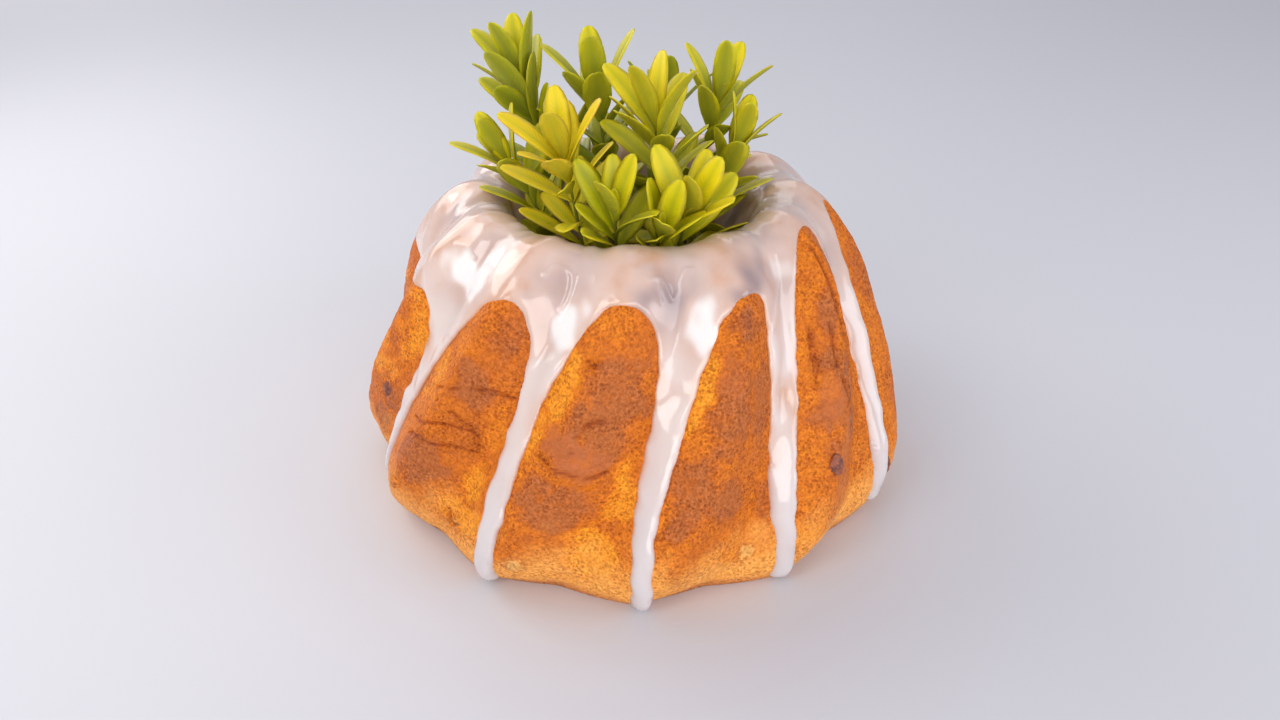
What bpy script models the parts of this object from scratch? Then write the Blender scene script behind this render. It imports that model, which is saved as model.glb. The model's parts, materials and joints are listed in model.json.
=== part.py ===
"""Bundt cake with twelve twisted flutes, and a bunch of box sprigs standing in its hole.

Metres, +Z up. The origin is the middle of the cake's flat base, on the cake's axis.
A bearing is measured about that axis from the front, -Y, towards +X.
"""

import math

import bmesh
import bpy
from mathutils import Matrix, Vector
from mathutils.bvhtree import BVHTree

MM = 0.001

# The cake: half its cross-section, as shares of its sizes, in two runs. The side and
# the crown climb from the base's outer edge; the funnel and the hole lead down again.
CAKE_RADIUS = 106 * MM
CAKE_HEIGHT = 110 * MM
CROWN_RADIUS = 60 * MM
HOLE_RADIUS = 20 * MM
SIDE = (
    (0.945, 0.0),
    (0.985, 0.075),
    (1.0, 0.19),
    (0.937, 0.415),
    (0.848, 0.632),
    (0.758, 0.810),
    (0.664, 0.935),
)
FUNNEL = ((0.82, 0.975), (0.715, 0.85), (0.565, 0.66), (0.43, 0.41), (0.355, 0.18))
FLUTED_FUNNEL_POINTS = 3
OVER_STEPS = 20
HOLE_STEPS = 4

# The flutes: rounded ribs that lean to the right as they climb, deepest on the side
# and gone inside the mouth.
FLUTES = 12
STEPS_PER_FLUTE = 6
FLUTE_SHARPNESS = 0.95
FLUTE_DEPTH = 9.2 * MM
FLUTE_LEAN = math.radians(36)
LEAN_EASING = 1.6
FIRST_GROOVE = math.radians(-16)
MEAN_OF_WAVE = 0.6

# The free way down the middle of the hole, which every stem and leaf keeps clear of.
WAY_HALF_WIDTH = 9.5 * MM
WAY_BOTTOM = -5 * MM
WAY_TOP = 114 * MM

# The sprigs: woody stems that stand on the same surface as the cake and lean out over
# the funnel, with leaves in opposite pairs, each pair a quarter turn from the last.
STEM_RADIUS = 0.9 * MM
STEM_STEPS = 6
FOOT_RING = 15 * MM
NECK_RING = 19 * MM
NECK_HEIGHT = 84 * MM
NECK_TOWARDS_TIP = 0.35
LEAFY_LENGTH = 46 * MM
TOP_PAIR_BELOW_TIP = 0.02
PAIR_CROWDING = 1.5
TOP_OPENING = 14
MORE_OPENING = 48
LEAF_THICKNESS = 1.0 * MM
LEAF_SLENDERNESS = 0.40
LEAF_FOLD = 0.16
LEAF_BEND = 0.10
LEAF_WIDEST = 1.25
LEAF_BLUNTNESS = 0.6
LEAF_STATIONS = (0.18, 0.55, 0.90)
CLEARANCE = 0.4 * MM
SHORTENINGS = (1.0, 0.86, 0.72)
SWINGS = (0, 10, -10, 20, -20, 30, -30, 42, -42)
LIFTS = (0, -9, 9, -18, 18)
SPRIGS = (
    # name, bearing of the foot, tip in mm, pairs, leaf length in mm, turn, spread
    ("back_left", -112, (-43, 18, 145), 7, 30, 20, 1.0),
    ("left", -84, (-50, -5, 121), 6, 25, 60, 1.0),
    ("front_left", -45, (-23, -27, 130), 7, 27, 40, 1.1),
    ("front", -18, (-6, -37, 113), 5, 27, 0, 1.0),
    ("rim", 10, (9, -41, 108), 4, 27, 20, 0.9),
    ("back", -165, (-13, 20, 136), 7, 30, 50, 1.0),
    ("middle", 62, (8, -10, 135), 7, 29, 10, 1.0),
    ("back_right", 128, (32, 20, 135), 6, 27, 20, 1.0),
    ("right", 92, (40, 4, 120), 6, 26, 40, 1.0),
    ("front_right", 36, (18, -36, 112), 6, 29, 0, 1.1),
    ("rear", 160, (12, 33, 126), 6, 27, 45, 1.0),
    ("rear_left", -138, (-26, 30, 114), 5, 26, 20, 1.0),
)

CRUST_COLOUR = (0.58, 0.25, 0.05)
LEAF_COLOUR = (0.42, 0.47, 0.03)
CURVE_STEPS = 16
FINE_STEPS = 100
SMOOTH_ANGLE = math.radians(40)


def evenly(line, steps):
    """The same line through points at equal distances."""
    lengths = [0.0]
    for a, b in zip(line, line[1:]):
        lengths.append(lengths[-1] + (b - a).length)
    result = []
    i = 0
    for step in range(steps + 1):
        wanted = lengths[-1] * step / steps
        while i < len(line) - 2 and lengths[i + 1] < wanted:
            i += 1
        share = (wanted - lengths[i]) / (lengths[i + 1] - lengths[i])
        result.append(line[i].lerp(line[i + 1], share))
    return result


def smooth(points, steps):
    """Evenly spaced points along a Catmull-Rom curve through the points given."""
    points = [Vector(point) for point in points]
    padded = [2 * points[0] - points[1], *points, 2 * points[-1] - points[-2]]
    fine = []
    for before, start, end, after in zip(padded, padded[1:], padded[2:], padded[3:]):
        for step in range(CURVE_STEPS):
            t = step / CURVE_STEPS
            straight = 2 * start + (end - before) * t
            bend = (2 * before - 5 * start + 4 * end - after) * t**2
            twist = (3 * start - before - 3 * end + after) * t**3
            fine.append((straight + bend + twist) / 2)
    fine.append(points[-1])
    return evenly(fine, steps)


def ease(low, high, value):
    """0 below low, 1 above high, and a smooth step between."""
    t = min(max((value - low) / (high - low), 0.0), 1.0)
    return t * t * (3 - 2 * t)


def flute_depth(share):
    """Half as deep at the base, full on the side, and gone inside the mouth."""
    rising = 0.5 + 0.5 * ease(0.0, 0.2, share)
    return FLUTE_DEPTH * rising * (1 - ease(0.5, 0.9, share))


def flute_lean(share):
    """How far a rib has turned to the right at a share of the way up and over."""
    return FLUTE_LEAN * (1 - (1 - share) ** LEAN_EASING)


def flute_wave(angle):
    """0 in a groove and 1 on a rib's crest: a triangle wave with rounded corners."""
    wave = math.asin(FLUTE_SHARPNESS * -math.cos(FLUTES * angle))
    return 0.5 + 0.5 * wave / math.asin(FLUTE_SHARPNESS)


def cake_profile():
    """The (radius, height) points of the fluted run, then of the plain run down the hole."""
    side = [(r * CAKE_RADIUS, z * CAKE_HEIGHT) for r, z in SIDE]
    funnel = [(r * CROWN_RADIUS, z * CAKE_HEIGHT) for r, z in FUNNEL]
    fluted = funnel[:FLUTED_FUNNEL_POINTS]
    plain = funnel[FLUTED_FUNNEL_POINTS - 1 :]
    over = smooth([*side, (CROWN_RADIUS, CAKE_HEIGHT), *fluted], OVER_STEPS)
    down = smooth([*plain, (HOLE_RADIUS, 0.0)], HOLE_STEPS)
    return over, down[1:]


def profile_normals(points):
    """The outward normals along the profile; the base's two edges spread level."""
    normals = []
    for before, after in zip([points[0], *points], [*points[1:], points[-1]]):
        along = after - before
        normals.append(Vector((along.y, -along.x)).normalized())
    normals[0] = Vector((1.0, 0.0))
    normals[-1] = Vector((-1.0, 0.0))
    return normals


def make_cake():
    """The cake: its profile spun about Z, then each ring fluted and turned."""
    over, down = cake_profile()
    profile = over + down
    normals = profile_normals(profile)
    mesh = bmesh.new()
    station = mesh.verts.layers.int.new("station")
    outline = []
    for i, point in enumerate(profile):
        vert = mesh.verts.new((0.0, -point.x, point.y))
        vert[station] = i
        outline.append(vert)
    for a, b in zip(outline, [*outline[1:], outline[0]]):
        mesh.edges.new((a, b))
    bmesh.ops.spin(
        mesh,
        geom=mesh.verts[:] + mesh.edges[:],
        axis=(0, 0, 1),
        angle=math.tau,
        steps=FLUTES * STEPS_PER_FLUTE,
        use_merge=True,
    )
    for vert in mesh.verts:
        i = vert[station]
        share = min(i / OVER_STEPS, 1.0)
        angle = math.atan2(vert.co.x, -vert.co.y)
        wave = flute_wave(angle - FIRST_GROOVE) - MEAN_OF_WAVE
        radius, height = profile[i] + normals[i] * (flute_depth(share) * wave)
        bearing = angle + flute_lean(share)
        vert.co = (radius * math.sin(bearing), -radius * math.cos(bearing), height)
    bmesh.ops.recalc_face_normals(mesh, faces=mesh.faces)
    return mesh


def free_way_tree():
    """The free way as a box to test leaves against."""
    low = Vector((-WAY_HALF_WIDTH, -WAY_HALF_WIDTH, WAY_BOTTOM))
    high = Vector((WAY_HALF_WIDTH, WAY_HALF_WIDTH, WAY_TOP))
    mesh = bmesh.new()
    bmesh.ops.create_cube(mesh, size=1.0)
    mesh.transform(Matrix.Translation((low + high) / 2) @ Matrix.Diagonal((*(high - low), 1.0)))
    tree = BVHTree.FromBMesh(mesh)
    mesh.free()
    return tree


def stem_line(bearing, tip):
    """The stem's middle line: from its foot up beside the hole's wall, then out to the tip."""
    turn = math.radians(bearing)
    out = Vector((math.sin(turn), -math.cos(turn), 0.0))
    foot = out * FOOT_RING
    neck = (out * NECK_RING).lerp(Vector((tip.x, tip.y, 0.0)), NECK_TOWARDS_TIP)
    neck.z = NECK_HEIGHT
    return smooth([foot, foot.lerp(neck, 0.5), neck, tip], STEM_STEPS)


def make_stem(line, grow=0.0):
    """A tube round the stem's middle line, its foot trimmed level."""
    curve = bpy.data.curves.new("stem", "CURVE")
    curve.dimensions = "3D"
    curve.bevel_depth = STEM_RADIUS + grow
    curve.bevel_resolution = 1
    curve.use_fill_caps = True
    spline = curve.splines.new("POLY")
    spline.points.add(len(line) - 1)
    for target, point in zip(spline.points, line):
        target.co = (*point, 1.0)
    guide = bpy.data.objects.new("stem", curve)
    bpy.context.scene.collection.objects.link(guide)
    graph = bpy.context.evaluated_depsgraph_get()
    tube = bpy.data.meshes.new_from_object(guide.evaluated_get(graph))
    mesh = bmesh.new()
    mesh.from_mesh(tube)
    bmesh.ops.remove_doubles(mesh, verts=mesh.verts, dist=0.01 * MM)
    for vert in mesh.verts:
        vert.co.z = max(vert.co.z, 0.0)
    bpy.data.objects.remove(guide)
    bpy.data.curves.remove(curve)
    bpy.data.meshes.remove(tube)
    return mesh


def leaf_corners(base, along, face, length, width, grow=0.0):
    """The corners of one leaf: a lens in section, folded at its midrib and bent back."""
    across = face.cross(along).normalized()
    upper = along.cross(across).normalized()
    corners = [base - along * grow]
    for t in LEAF_STATIONS:
        half = width / 2 * math.sin(math.pi * t**LEAF_WIDEST) ** LEAF_BLUNTNESS + grow
        thick = upper * (LEAF_THICKNESS / 2 + grow)
        middle = base + along * (t * length) - upper * (LEAF_BEND * length * t**2)
        lifted = middle + upper * (LEAF_FOLD * half)
        corners += [lifted + across * half, middle + thick, lifted - across * half, middle - thick]
    corners.append(base + along * (length + grow) - upper * (LEAF_BEND * length))
    return corners


def leaf_faces():
    """The faces that close those corners, from the leaf's foot to its tip."""
    last = 4 * len(LEAF_STATIONS) + 1
    faces = []
    for side in range(4):
        after = (side + 1) % 4
        faces.append((0, 1 + side, 1 + after))
        for row in range(1, last - 4, 4):
            faces.append((row + side, row + 4 + side, row + 4 + after, row + after))
        faces.append((last - 4 + side, last, last - 4 + after))
    return faces


def leaf_places(line, pairs, length, turn, spread):
    """Each leaf of a sprig from the tip down: base, direction, upper side, length, width."""
    places = []
    fine = evenly(line, FINE_STEPS)
    step = (fine[1] - fine[0]).length
    for pair in range(pairs):
        age = pair / (pairs - 1)
        below = LEAFY_LENGTH * (TOP_PAIR_BELOW_TIP + age**PAIR_CROWDING)
        i = FINE_STEPS - round(below / step)
        along = (fine[i] - fine[i - 1]).normalized()
        side = Matrix.Rotation(math.radians(turn + 90 * pair), 3, along) @ along.orthogonal()
        side.normalize()
        opening = math.radians(spread * (TOP_OPENING + MORE_OPENING * age**0.7))
        size = length * MM * (0.85 if pair == 0 else 1.0 - 0.15 * age)
        for out in (side, -side):
            way = along * math.cos(opening) + out * math.sin(opening)
            face = along * math.sin(opening) - out * math.cos(opening)
            places.append((fine[i], way, face, size, size * LEAF_SLENDERNESS))
    return places


def clear_leaf(place, obstacles):
    """The leaf turned aside or made shorter until it touches nothing, or None."""
    base, way, face, length, width = place
    across = face.cross(way).normalized()
    for shorter in SHORTENINGS:
        for swing in SWINGS:
            aside = Matrix.Rotation(math.radians(swing), 3, face) @ way
            for lift in LIFTS:
                rise = Matrix.Rotation(math.radians(lift), 3, across)
                leaf = (base, rise @ aside, rise @ face, length * shorter, width * shorter)
                tree = BVHTree.FromPolygons(leaf_corners(*leaf, grow=CLEARANCE), leaf_faces())
                if not any(tree.overlap(other) for other in obstacles):
                    return leaf
    return None


def make_leaf(leaf):
    """One leaf as a closed blade."""
    mesh = bmesh.new()
    verts = [mesh.verts.new(corner) for corner in leaf_corners(*leaf)]
    for face in leaf_faces():
        mesh.faces.new([verts[i] for i in face])
    bmesh.ops.recalc_face_normals(mesh, faces=mesh.faces)
    return mesh


def new_object(name, mesh, collection, material=None):
    """An object made from a bmesh, shaded smooth but for its sharp edges."""
    data = bpy.data.meshes.new(name)
    mesh.to_mesh(data)
    mesh.free()
    if material:
        data.materials.append(material)
    data.shade_smooth()
    data.set_sharp_from_angle(angle=SMOOTH_ANGLE)
    obj = bpy.data.objects.new(name, data)
    collection.objects.link(obj)
    return obj


def add_sprig(name, line, leaves, parts, cutters, material):
    """One sprig: its stem, with its leaves joined on by a Boolean union."""
    blades = bpy.data.collections.new(f"leaves_of_{name}")
    cutters.children.link(blades)
    for number, leaf in enumerate(leaves, start=1):
        blade = new_object(f"leaf_{name}_{number}", make_leaf(leaf), blades)
        blade.hide_render = True
        blade.display_type = "WIRE"
    sprig = new_object(f"sprig_{name}", make_stem(line), parts, material)
    join = sprig.modifiers.new("join_leaves", "BOOLEAN")
    join.operation = "UNION"
    join.operand_type = "COLLECTION"
    join.collection = blades


def tree_of(mesh):
    """A bmesh as a tree to test leaves against; the bmesh is freed."""
    tree = BVHTree.FromBMesh(mesh)
    mesh.free()
    return tree


def add_sprigs(parts, cutters, material):
    """Every sprig, its leaves turned aside from the cake, the free way and each other."""
    lines = {name: stem_line(bearing, Vector(tip) * MM) for name, bearing, tip, *_ in SPRIGS}
    stems = {name: tree_of(make_stem(line, CLEARANCE)) for name, line in lines.items()}
    obstacles = [tree_of(make_cake()), free_way_tree()]
    for name, _, _, pairs, length, turn, spread in SPRIGS:
        others = [tree for other, tree in stems.items() if other != name]
        leaves = []
        for place in leaf_places(lines[name], pairs, length, turn, spread):
            leaf = clear_leaf(place, obstacles + others)
            if leaf:
                leaves.append(leaf)
        obstacles += [tree_of(make_leaf(leaf)) for leaf in leaves]
        add_sprig(name, lines[name], leaves, parts, cutters, material)


def principled(name, colour, roughness):
    """A plain material in the piece's main colour."""
    material = bpy.data.materials.new(name)
    material.use_nodes = True
    shader = material.node_tree.nodes["Principled BSDF"]
    shader.inputs["Base Color"].default_value = (*colour, 1.0)
    shader.inputs["Roughness"].default_value = roughness
    shader.inputs["Metallic"].default_value = 0.0
    return material


def new_collection(name):
    """A collection in the scene."""
    collection = bpy.data.collections.new(name)
    bpy.context.scene.collection.children.link(collection)
    return collection


def main():
    """Clears the scene and builds the cake and its sprigs."""
    for obj in list(bpy.data.objects):
        bpy.data.objects.remove(obj)
    parts = new_collection("bundt_cake")
    cutters = new_collection("leaves_to_join")
    cutters.hide_render = True
    new_object("cake", make_cake(), parts, principled("crust", CRUST_COLOUR, 0.6))
    add_sprigs(parts, cutters, principled("box_leaf", LEAF_COLOUR, 0.4))


main()
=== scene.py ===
"""Looks of a bundt cake: a fluted brown crust under poured glaze, with box sprigs in its hole.

Metres, +Z up. The origin is the middle of the cake's flat base, on the cake's axis.
A bearing is measured about that axis from the front, -Y, towards +X. A length is
measured up the cake's side from its base, over the crown and down into the hole.
"""

import json
import logging
import math
from dataclasses import dataclass
from enum import Enum
from functools import cached_property
from typing import Any, Callable, Iterable, Sequence

import bmesh
import bpy
import numpy as np
from bpy.types import ID, Collection, Material, Mesh, Node, NodeSocket, NodeTree, Object
from mathutils import Matrix, Vector
from mathutils.bvhtree import BVHTree
from mathutils.geometry import delaunay_2d_cdt

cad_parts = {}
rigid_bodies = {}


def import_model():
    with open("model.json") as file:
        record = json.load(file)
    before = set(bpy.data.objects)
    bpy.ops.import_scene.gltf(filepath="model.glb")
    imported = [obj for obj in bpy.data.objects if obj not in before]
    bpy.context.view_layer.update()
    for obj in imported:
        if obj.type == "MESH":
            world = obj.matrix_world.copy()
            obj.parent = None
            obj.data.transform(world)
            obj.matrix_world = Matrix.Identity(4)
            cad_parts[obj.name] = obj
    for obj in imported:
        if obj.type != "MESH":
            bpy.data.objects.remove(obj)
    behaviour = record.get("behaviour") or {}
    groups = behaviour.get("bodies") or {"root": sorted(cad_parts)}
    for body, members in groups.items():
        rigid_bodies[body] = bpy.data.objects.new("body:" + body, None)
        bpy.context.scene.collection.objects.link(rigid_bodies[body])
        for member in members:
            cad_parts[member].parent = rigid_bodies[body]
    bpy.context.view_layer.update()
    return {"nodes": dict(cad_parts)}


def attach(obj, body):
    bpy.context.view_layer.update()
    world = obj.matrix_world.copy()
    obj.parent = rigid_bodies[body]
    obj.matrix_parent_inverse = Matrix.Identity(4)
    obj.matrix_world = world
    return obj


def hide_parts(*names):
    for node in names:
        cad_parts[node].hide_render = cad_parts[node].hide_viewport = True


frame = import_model()

MM = 0.001
LOG = logging.getLogger("bundt_cake")
Colour = tuple[float, float, float]
Pair = tuple[float, float]
Pairs = tuple[Pair, ...]


class Slot(Enum):
    """The record's material slots."""

    CRUST = "crust"
    GLAZE = "glaze"
    LEAF = "leaf"


class Mark(Enum):
    """What shows at a spot in the crust."""

    RAISIN = 0
    CRUMB = 1
    BLISTER = 2


def ease(low: float, high: float, value: Any) -> Any:
    """A smooth step of a number or an array, 0 at low and 1 at high."""
    t = np.clip((value - low) / (high - low), 0.0, 1.0)
    return t * t * (3 - 2 * t)


def around(bearing: Any) -> Any:
    """Bearings brought within half a turn of the front."""
    return (bearing + math.pi) % math.tau - math.pi


def linear(red: int, green: int, blue: int) -> Colour:
    """A colour as shares of light, from display values of 0 to 255."""
    shares = (value / 255 for value in (red, green, blue))
    return tuple(s / 12.92 if s < 0.04045 else ((s + 0.055) / 1.055) ** 2.4 for s in shares)


def joining(operation: str, swapped: bool = False) -> Callable[["Wire", Any], "Wire"]:
    """An operator for wires.

    Args:
        operation: The operation of its Math node.
        swapped: Whether the other value comes first.

    Returns:
        The operator's method.
    """

    def joined(wire: "Wire", other: Any) -> "Wire":
        """Joins a wire and another value."""
        return wire.maths(operation, *((other, wire) if swapped else (wire, other)))

    return joined


class Wire:
    """The value of one socket, which Python's operators turn into Math nodes."""

    def __init__(self, graph: "Graph", socket: NodeSocket) -> None:
        """Holds the socket and the graph that it is in."""
        self.graph = graph
        self.socket = socket

    def maths(self, operation: str, *values: Any) -> "Wire":
        """The result of a Math node with these wires or numbers as its inputs."""
        return self.graph.wire("ShaderNodeMath", {"operation": operation}, dict(enumerate(values)))

    __add__, __radd__ = joining("ADD"), joining("ADD", swapped=True)
    __sub__, __rsub__ = joining("SUBTRACT"), joining("SUBTRACT", swapped=True)
    __mul__, __rmul__ = joining("MULTIPLY"), joining("MULTIPLY", swapped=True)
    __truediv__, __pow__ = joining("DIVIDE"), joining("POWER")

    def __neg__(self) -> "Wire":
        """This with its sign changed."""
        return self.maths("MULTIPLY", self, -1.0)

    def act(self, operation: str) -> "Wire":
        """This through a Math operation of one input, such as SINE."""
        return self.maths(operation, self)

    def most(self, other: Any) -> "Wire":
        """The larger of this and the other."""
        return self.maths("MAXIMUM", self, other)

    def step(self, low: float, high: float) -> "Wire":
        """A smooth step of this.

        Args:
            low: Where the step starts, at 0.
            high: Where it ends, at 1. Below low, the step falls instead of rising.

        Returns:
            The step's height.
        """
        if high < low:
            return 1.0 - self.step(high, low)
        settings = {"interpolation_type": "SMOOTHSTEP"}
        return self.graph.wire("ShaderNodeMapRange", settings, {0: self, 1: low, 2: high})

    def hump(self, middle: float, reach: float) -> "Wire":
        """1 where this is at the middle, falling smoothly to 0 at the reach to either side."""
        return (self - middle).act("ABSOLUTE").step(reach, 0.0)


class Graph:
    """A node tree that is written as expressions, with its nodes laid out in rows."""

    columns = 12
    spacing = (220.0, -260.0)

    def __init__(self, tree: NodeTree) -> None:
        """Holds the tree."""
        self.tree = tree

    def node(self, kind: str, settings: dict | None = None, inputs: dict | None = None) -> Node:
        """Adds a node of any type.

        Args:
            kind: The node's type.
            settings: Its properties, set first; "stops" holds a colour ramp's stops.
            inputs: Wires or values by socket name or number.

        Returns:
            The node.
        """
        node = self.tree.nodes.new(kind)
        row, column = divmod(len(self.tree.nodes), self.columns)
        node.location = (self.spacing[0] * column, self.spacing[1] * row)
        for name, value in (settings or {}).items():
            if name == "stops":
                ramp = node.color_ramp
                for place, colour in value[2:]:
                    ramp.elements.new(place)
                for element, (place, colour) in zip(ramp.elements, value):
                    element.position = place
                    element.color = (*colour, 1.0)
            else:
                setattr(node, name, value)
        for name, value in (inputs or {}).items():
            self.feed(node.inputs[name], value)
        return node

    def feed(self, socket: NodeSocket, value: Any) -> None:
        """Links or sets an input.

        Args:
            socket: The input.
            value: A wire or a value.
        """
        if isinstance(value, Wire):
            self.tree.links.new(value.socket, socket)
        else:
            socket.default_value = (*value, 1.0) if socket.type == "RGBA" else value

    def wire(self, kind: str, settings: dict | None = None, inputs: dict | None = None,
             output: int | str = 0) -> Wire:
        """One output, by number or name, of a new node."""
        return Wire(self, self.node(kind, settings, inputs).outputs[output])

    def blend(self, share: Any, first: Any, second: Any, kind: str = "MIX") -> Wire:
        """The first colour, mixed with the second to the extent of the share."""
        settings = {"data_type": "RGBA", "blend_type": kind}
        return self.wire("ShaderNodeMix", settings, {0: share, 6: first, 7: second}, 2)

    def multiply(self, share: Any, first: Any, second: Any) -> Wire:
        """The first colour, multiplied by the second to the extent of the share."""
        return self.blend(share, first, second, "MULTIPLY")

    def noise(self, period: float, detail: float = 2.0, roughness: float = 0.5, at: Any = None) -> Wire:
        """Noise from 0 to 1 with blobs of a period in millimetres, read here or at other places."""
        inputs = {"Vector": at or self.mm, "Scale": 1 / period, "Detail": detail, "Roughness": roughness}
        return self.wire("ShaderNodeTexNoise", {}, inputs)

    def stretched(self, vector: Wire, scale: Sequence[float]) -> Wire:
        """A vector multiplied axis by axis."""
        return self.wire("ShaderNodeVectorMath", {"operation": "MULTIPLY"}, {0: vector, 1: scale})


class ShaderGraph(Graph):
    """A material's tree, with its coordinates in millimetres."""

    def __init__(self, name: str) -> None:
        """Makes the material.

        Args:
            name: The material's name.
        """
        self.material = bpy.data.materials.new(name)
        self.material.use_nodes = True
        super().__init__(self.material.node_tree)
        self.shader = self.tree.nodes["Principled BSDF"]
        place = self.wire("ShaderNodeTexCoord", {}, {}, "Object")
        self.mm = self.stretched(place, (1 / MM, 1 / MM, 1 / MM))

    def attribute(self, name: str) -> Wire:
        """A value stored on the mesh."""
        return self.wire("ShaderNodeAttribute", {"attribute_name": name}, {}, "Fac")

    def bump(self, height: Wire, depth: float, under: Wire | None = None) -> Wire:
        """Relief too fine for the mesh.

        Args:
            height: The relief, 0 to 1.
            depth: How deep it is, in millimetres.
            under: A coarser relief that it lies on.

        Returns:
            The normal.
        """
        inputs = {"Height": height, "Distance": depth * MM, "Strength": 1.0}
        if under:
            inputs["Normal"] = under
        return self.wire("ShaderNodeBump", {}, inputs)

    def finish(self, **inputs: Any) -> Material:
        """Sets the shader's inputs.

        Args:
            inputs: Wires or values by socket name, with underscores for spaces.

        Returns:
            The material.
        """
        for name, value in inputs.items():
            self.feed(self.shader.inputs[name.replace("_", " ")], value)
        return self.material


def curve_through(points: Sequence[Sequence[float]], steps: int) -> np.ndarray:
    """A Catmull-Rom curve.

    Args:
        points: The points that it goes through.
        steps: Points made for each span.

    Returns:
        The curve's points, the last one included.
    """
    given = np.array(points, float)
    padded = np.vstack([2 * given[0] - given[1], given, 2 * given[-1] - given[-2]])
    t = np.linspace(0, 1, steps, endpoint=False)[:, None]
    spans = []
    for before, start, end, after in zip(padded, padded[1:], padded[2:], padded[3:]):
        bend = 2 * before - 5 * start + 4 * end - after
        twist = 3 * start - before - 3 * end + after
        spans.append((2 * start + (end - before) * t + bend * t**2 + twist * t**3) / 2)
    return np.vstack([*spans, given[-1:]])


@dataclass
class CakeForm:
    """The fluted form that the crust, the glaze and the raisins share."""

    radius: float = 106 * MM
    height: float = 110 * MM
    crown: float = 60 * MM
    hole: float = 20 * MM
    side: Pairs = (
        (0.945, 0.0), (0.985, 0.075), (1.0, 0.19), (0.937, 0.415), (0.848, 0.632), (0.758, 0.810),
        (0.664, 0.935),
    )
    funnel: Pairs = ((0.82, 0.975), (0.715, 0.85), (0.565, 0.66), (0.43, 0.41), (0.355, 0.18))
    fluted_funnel_points: int = 3
    flutes: int = 12
    sharpness: float = 0.95
    depth: float = 9.2 * MM
    depth_at_base: float = 0.5
    full_depth_from: float = 0.2
    depth_fades: Pair = (0.5, 0.9)
    lean: float = math.radians(36)
    lean_easing: float = 1.6
    first_groove: float = math.radians(-16)
    mean_of_wave: float = 0.6
    steps: int = 32

    @cached_property
    def line(self) -> np.ndarray:
        """The half section: radius and height from the base's outer edge to the hole's foot."""
        side = [(r * self.radius, z * self.height) for r, z in self.side]
        funnel = [(r * self.crown, z * self.height) for r, z in self.funnel]
        return curve_through([*side, (self.crown, self.height), *funnel, (self.hole, 0.0)], self.steps)

    @cached_property
    def lengths(self) -> np.ndarray:
        """The length along the section at each of its points."""
        return np.append(0.0, np.cumsum(np.linalg.norm(np.diff(self.line, axis=0), axis=1)))

    @cached_property
    def normals(self) -> np.ndarray:
        """The section's outward normals; its two feet spread level."""
        along = np.gradient(self.line, axis=0)
        normals = np.stack([along[:, 1], -along[:, 0]], axis=1)
        normals[0] = (1.0, 0.0)
        normals[-1] = (-1.0, 0.0)
        return normals / np.linalg.norm(normals, axis=1)[:, None]

    @cached_property
    def fluted_length(self) -> float:
        """The length at which the fluted run ends, inside the mouth."""
        return self.lengths[self.steps * (len(self.side) + self.fluted_funnel_points)]

    def share(self, length: Any) -> Any:
        """How far along the fluted run a length is, 0 to 1."""
        return np.clip(length / self.fluted_length, 0.0, 1.0)

    def leaning(self, length: Any) -> Any:
        """How far a rib has turned to the right at a length."""
        return self.lean * (1 - (1 - self.share(length)) ** self.lean_easing)

    def deepness(self, length: Any) -> Any:
        """The flutes' depth: half at the base, full on the side, none inside the mouth."""
        share = self.share(length)
        grown = self.depth_at_base + (1 - self.depth_at_base) * ease(0.0, self.full_depth_from, share)
        return self.depth * grown * (1 - ease(*self.depth_fades, share))

    def wave(self, angle: Any) -> Any:
        """0 in a groove and 1 on a rib's crest, at an angle before the lean."""
        turned = np.arcsin(-self.sharpness * np.cos(self.flutes * (angle - self.first_groove)))
        return 0.5 + 0.5 * turned / math.asin(self.sharpness)

    def section(self, length: Any) -> tuple[Any, Any, Any, Any]:
        """Radius, height and the two parts of the normal at a length."""
        columns = (*self.line.T, *self.normals.T)
        return tuple(np.interp(length, self.lengths, column) for column in columns)

    def place(self, bearing: Any, length: Any, out: Any = 0.0) -> np.ndarray:
        """Points on the form.

        Args:
            bearing: Bearings in radians.
            length: Lengths in metres.
            out: How far each point stands off the form.

        Returns:
            The points, one to a row.
        """
        radius, height, level, upward = self.section(length)
        rise = self.deepness(length) * (self.wave(bearing - self.leaning(length)) - self.mean_of_wave)
        radius = radius + level * (rise + out)
        height = height + upward * (rise + out)
        return np.stack([radius * np.sin(bearing), -radius * np.cos(bearing), height], axis=-1)

    def direction(self, bearing: Any, length: Any) -> np.ndarray:
        """The section's normal turned to each bearing."""
        _, _, level, upward = self.section(length)
        return np.stack([level * np.sin(bearing), -level * np.cos(bearing), upward + 0 * bearing], axis=-1)

    def length_at(self, share: Any) -> Any:
        """The length at a share of the fluted run."""
        return share * self.fluted_length

    def reach(self, patch: "Patch", bearing: np.ndarray, length: np.ndarray) -> np.ndarray:
        """How far places lie from a patch's middle.

        Args:
            patch: The patch.
            bearing: The places' bearings.
            length: Their lengths.

        Returns:
            Distances, 1 at the patch's edge.
        """
        radius = self.section(length)[0]
        x = around(bearing - math.radians(patch.bearing)) * radius / MM
        y = (length - self.length_at(patch.share)) / MM
        turn = math.radians(patch.turn)
        u = (x * math.cos(turn) - y * math.sin(turn)) / patch.across
        v = (x * math.sin(turn) + y * math.cos(turn)) / patch.along
        return np.hypot(u, v)


def new_object(name: str, data: ID) -> Object:
    """Puts a mesh, a light or a camera in the scene.

    Args:
        name: The object's name.
        data: What it holds.

    Returns:
        The object, at the origin.
    """
    obj = bpy.data.objects.new(name, data)
    bpy.context.scene.collection.objects.link(obj)
    return obj


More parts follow.
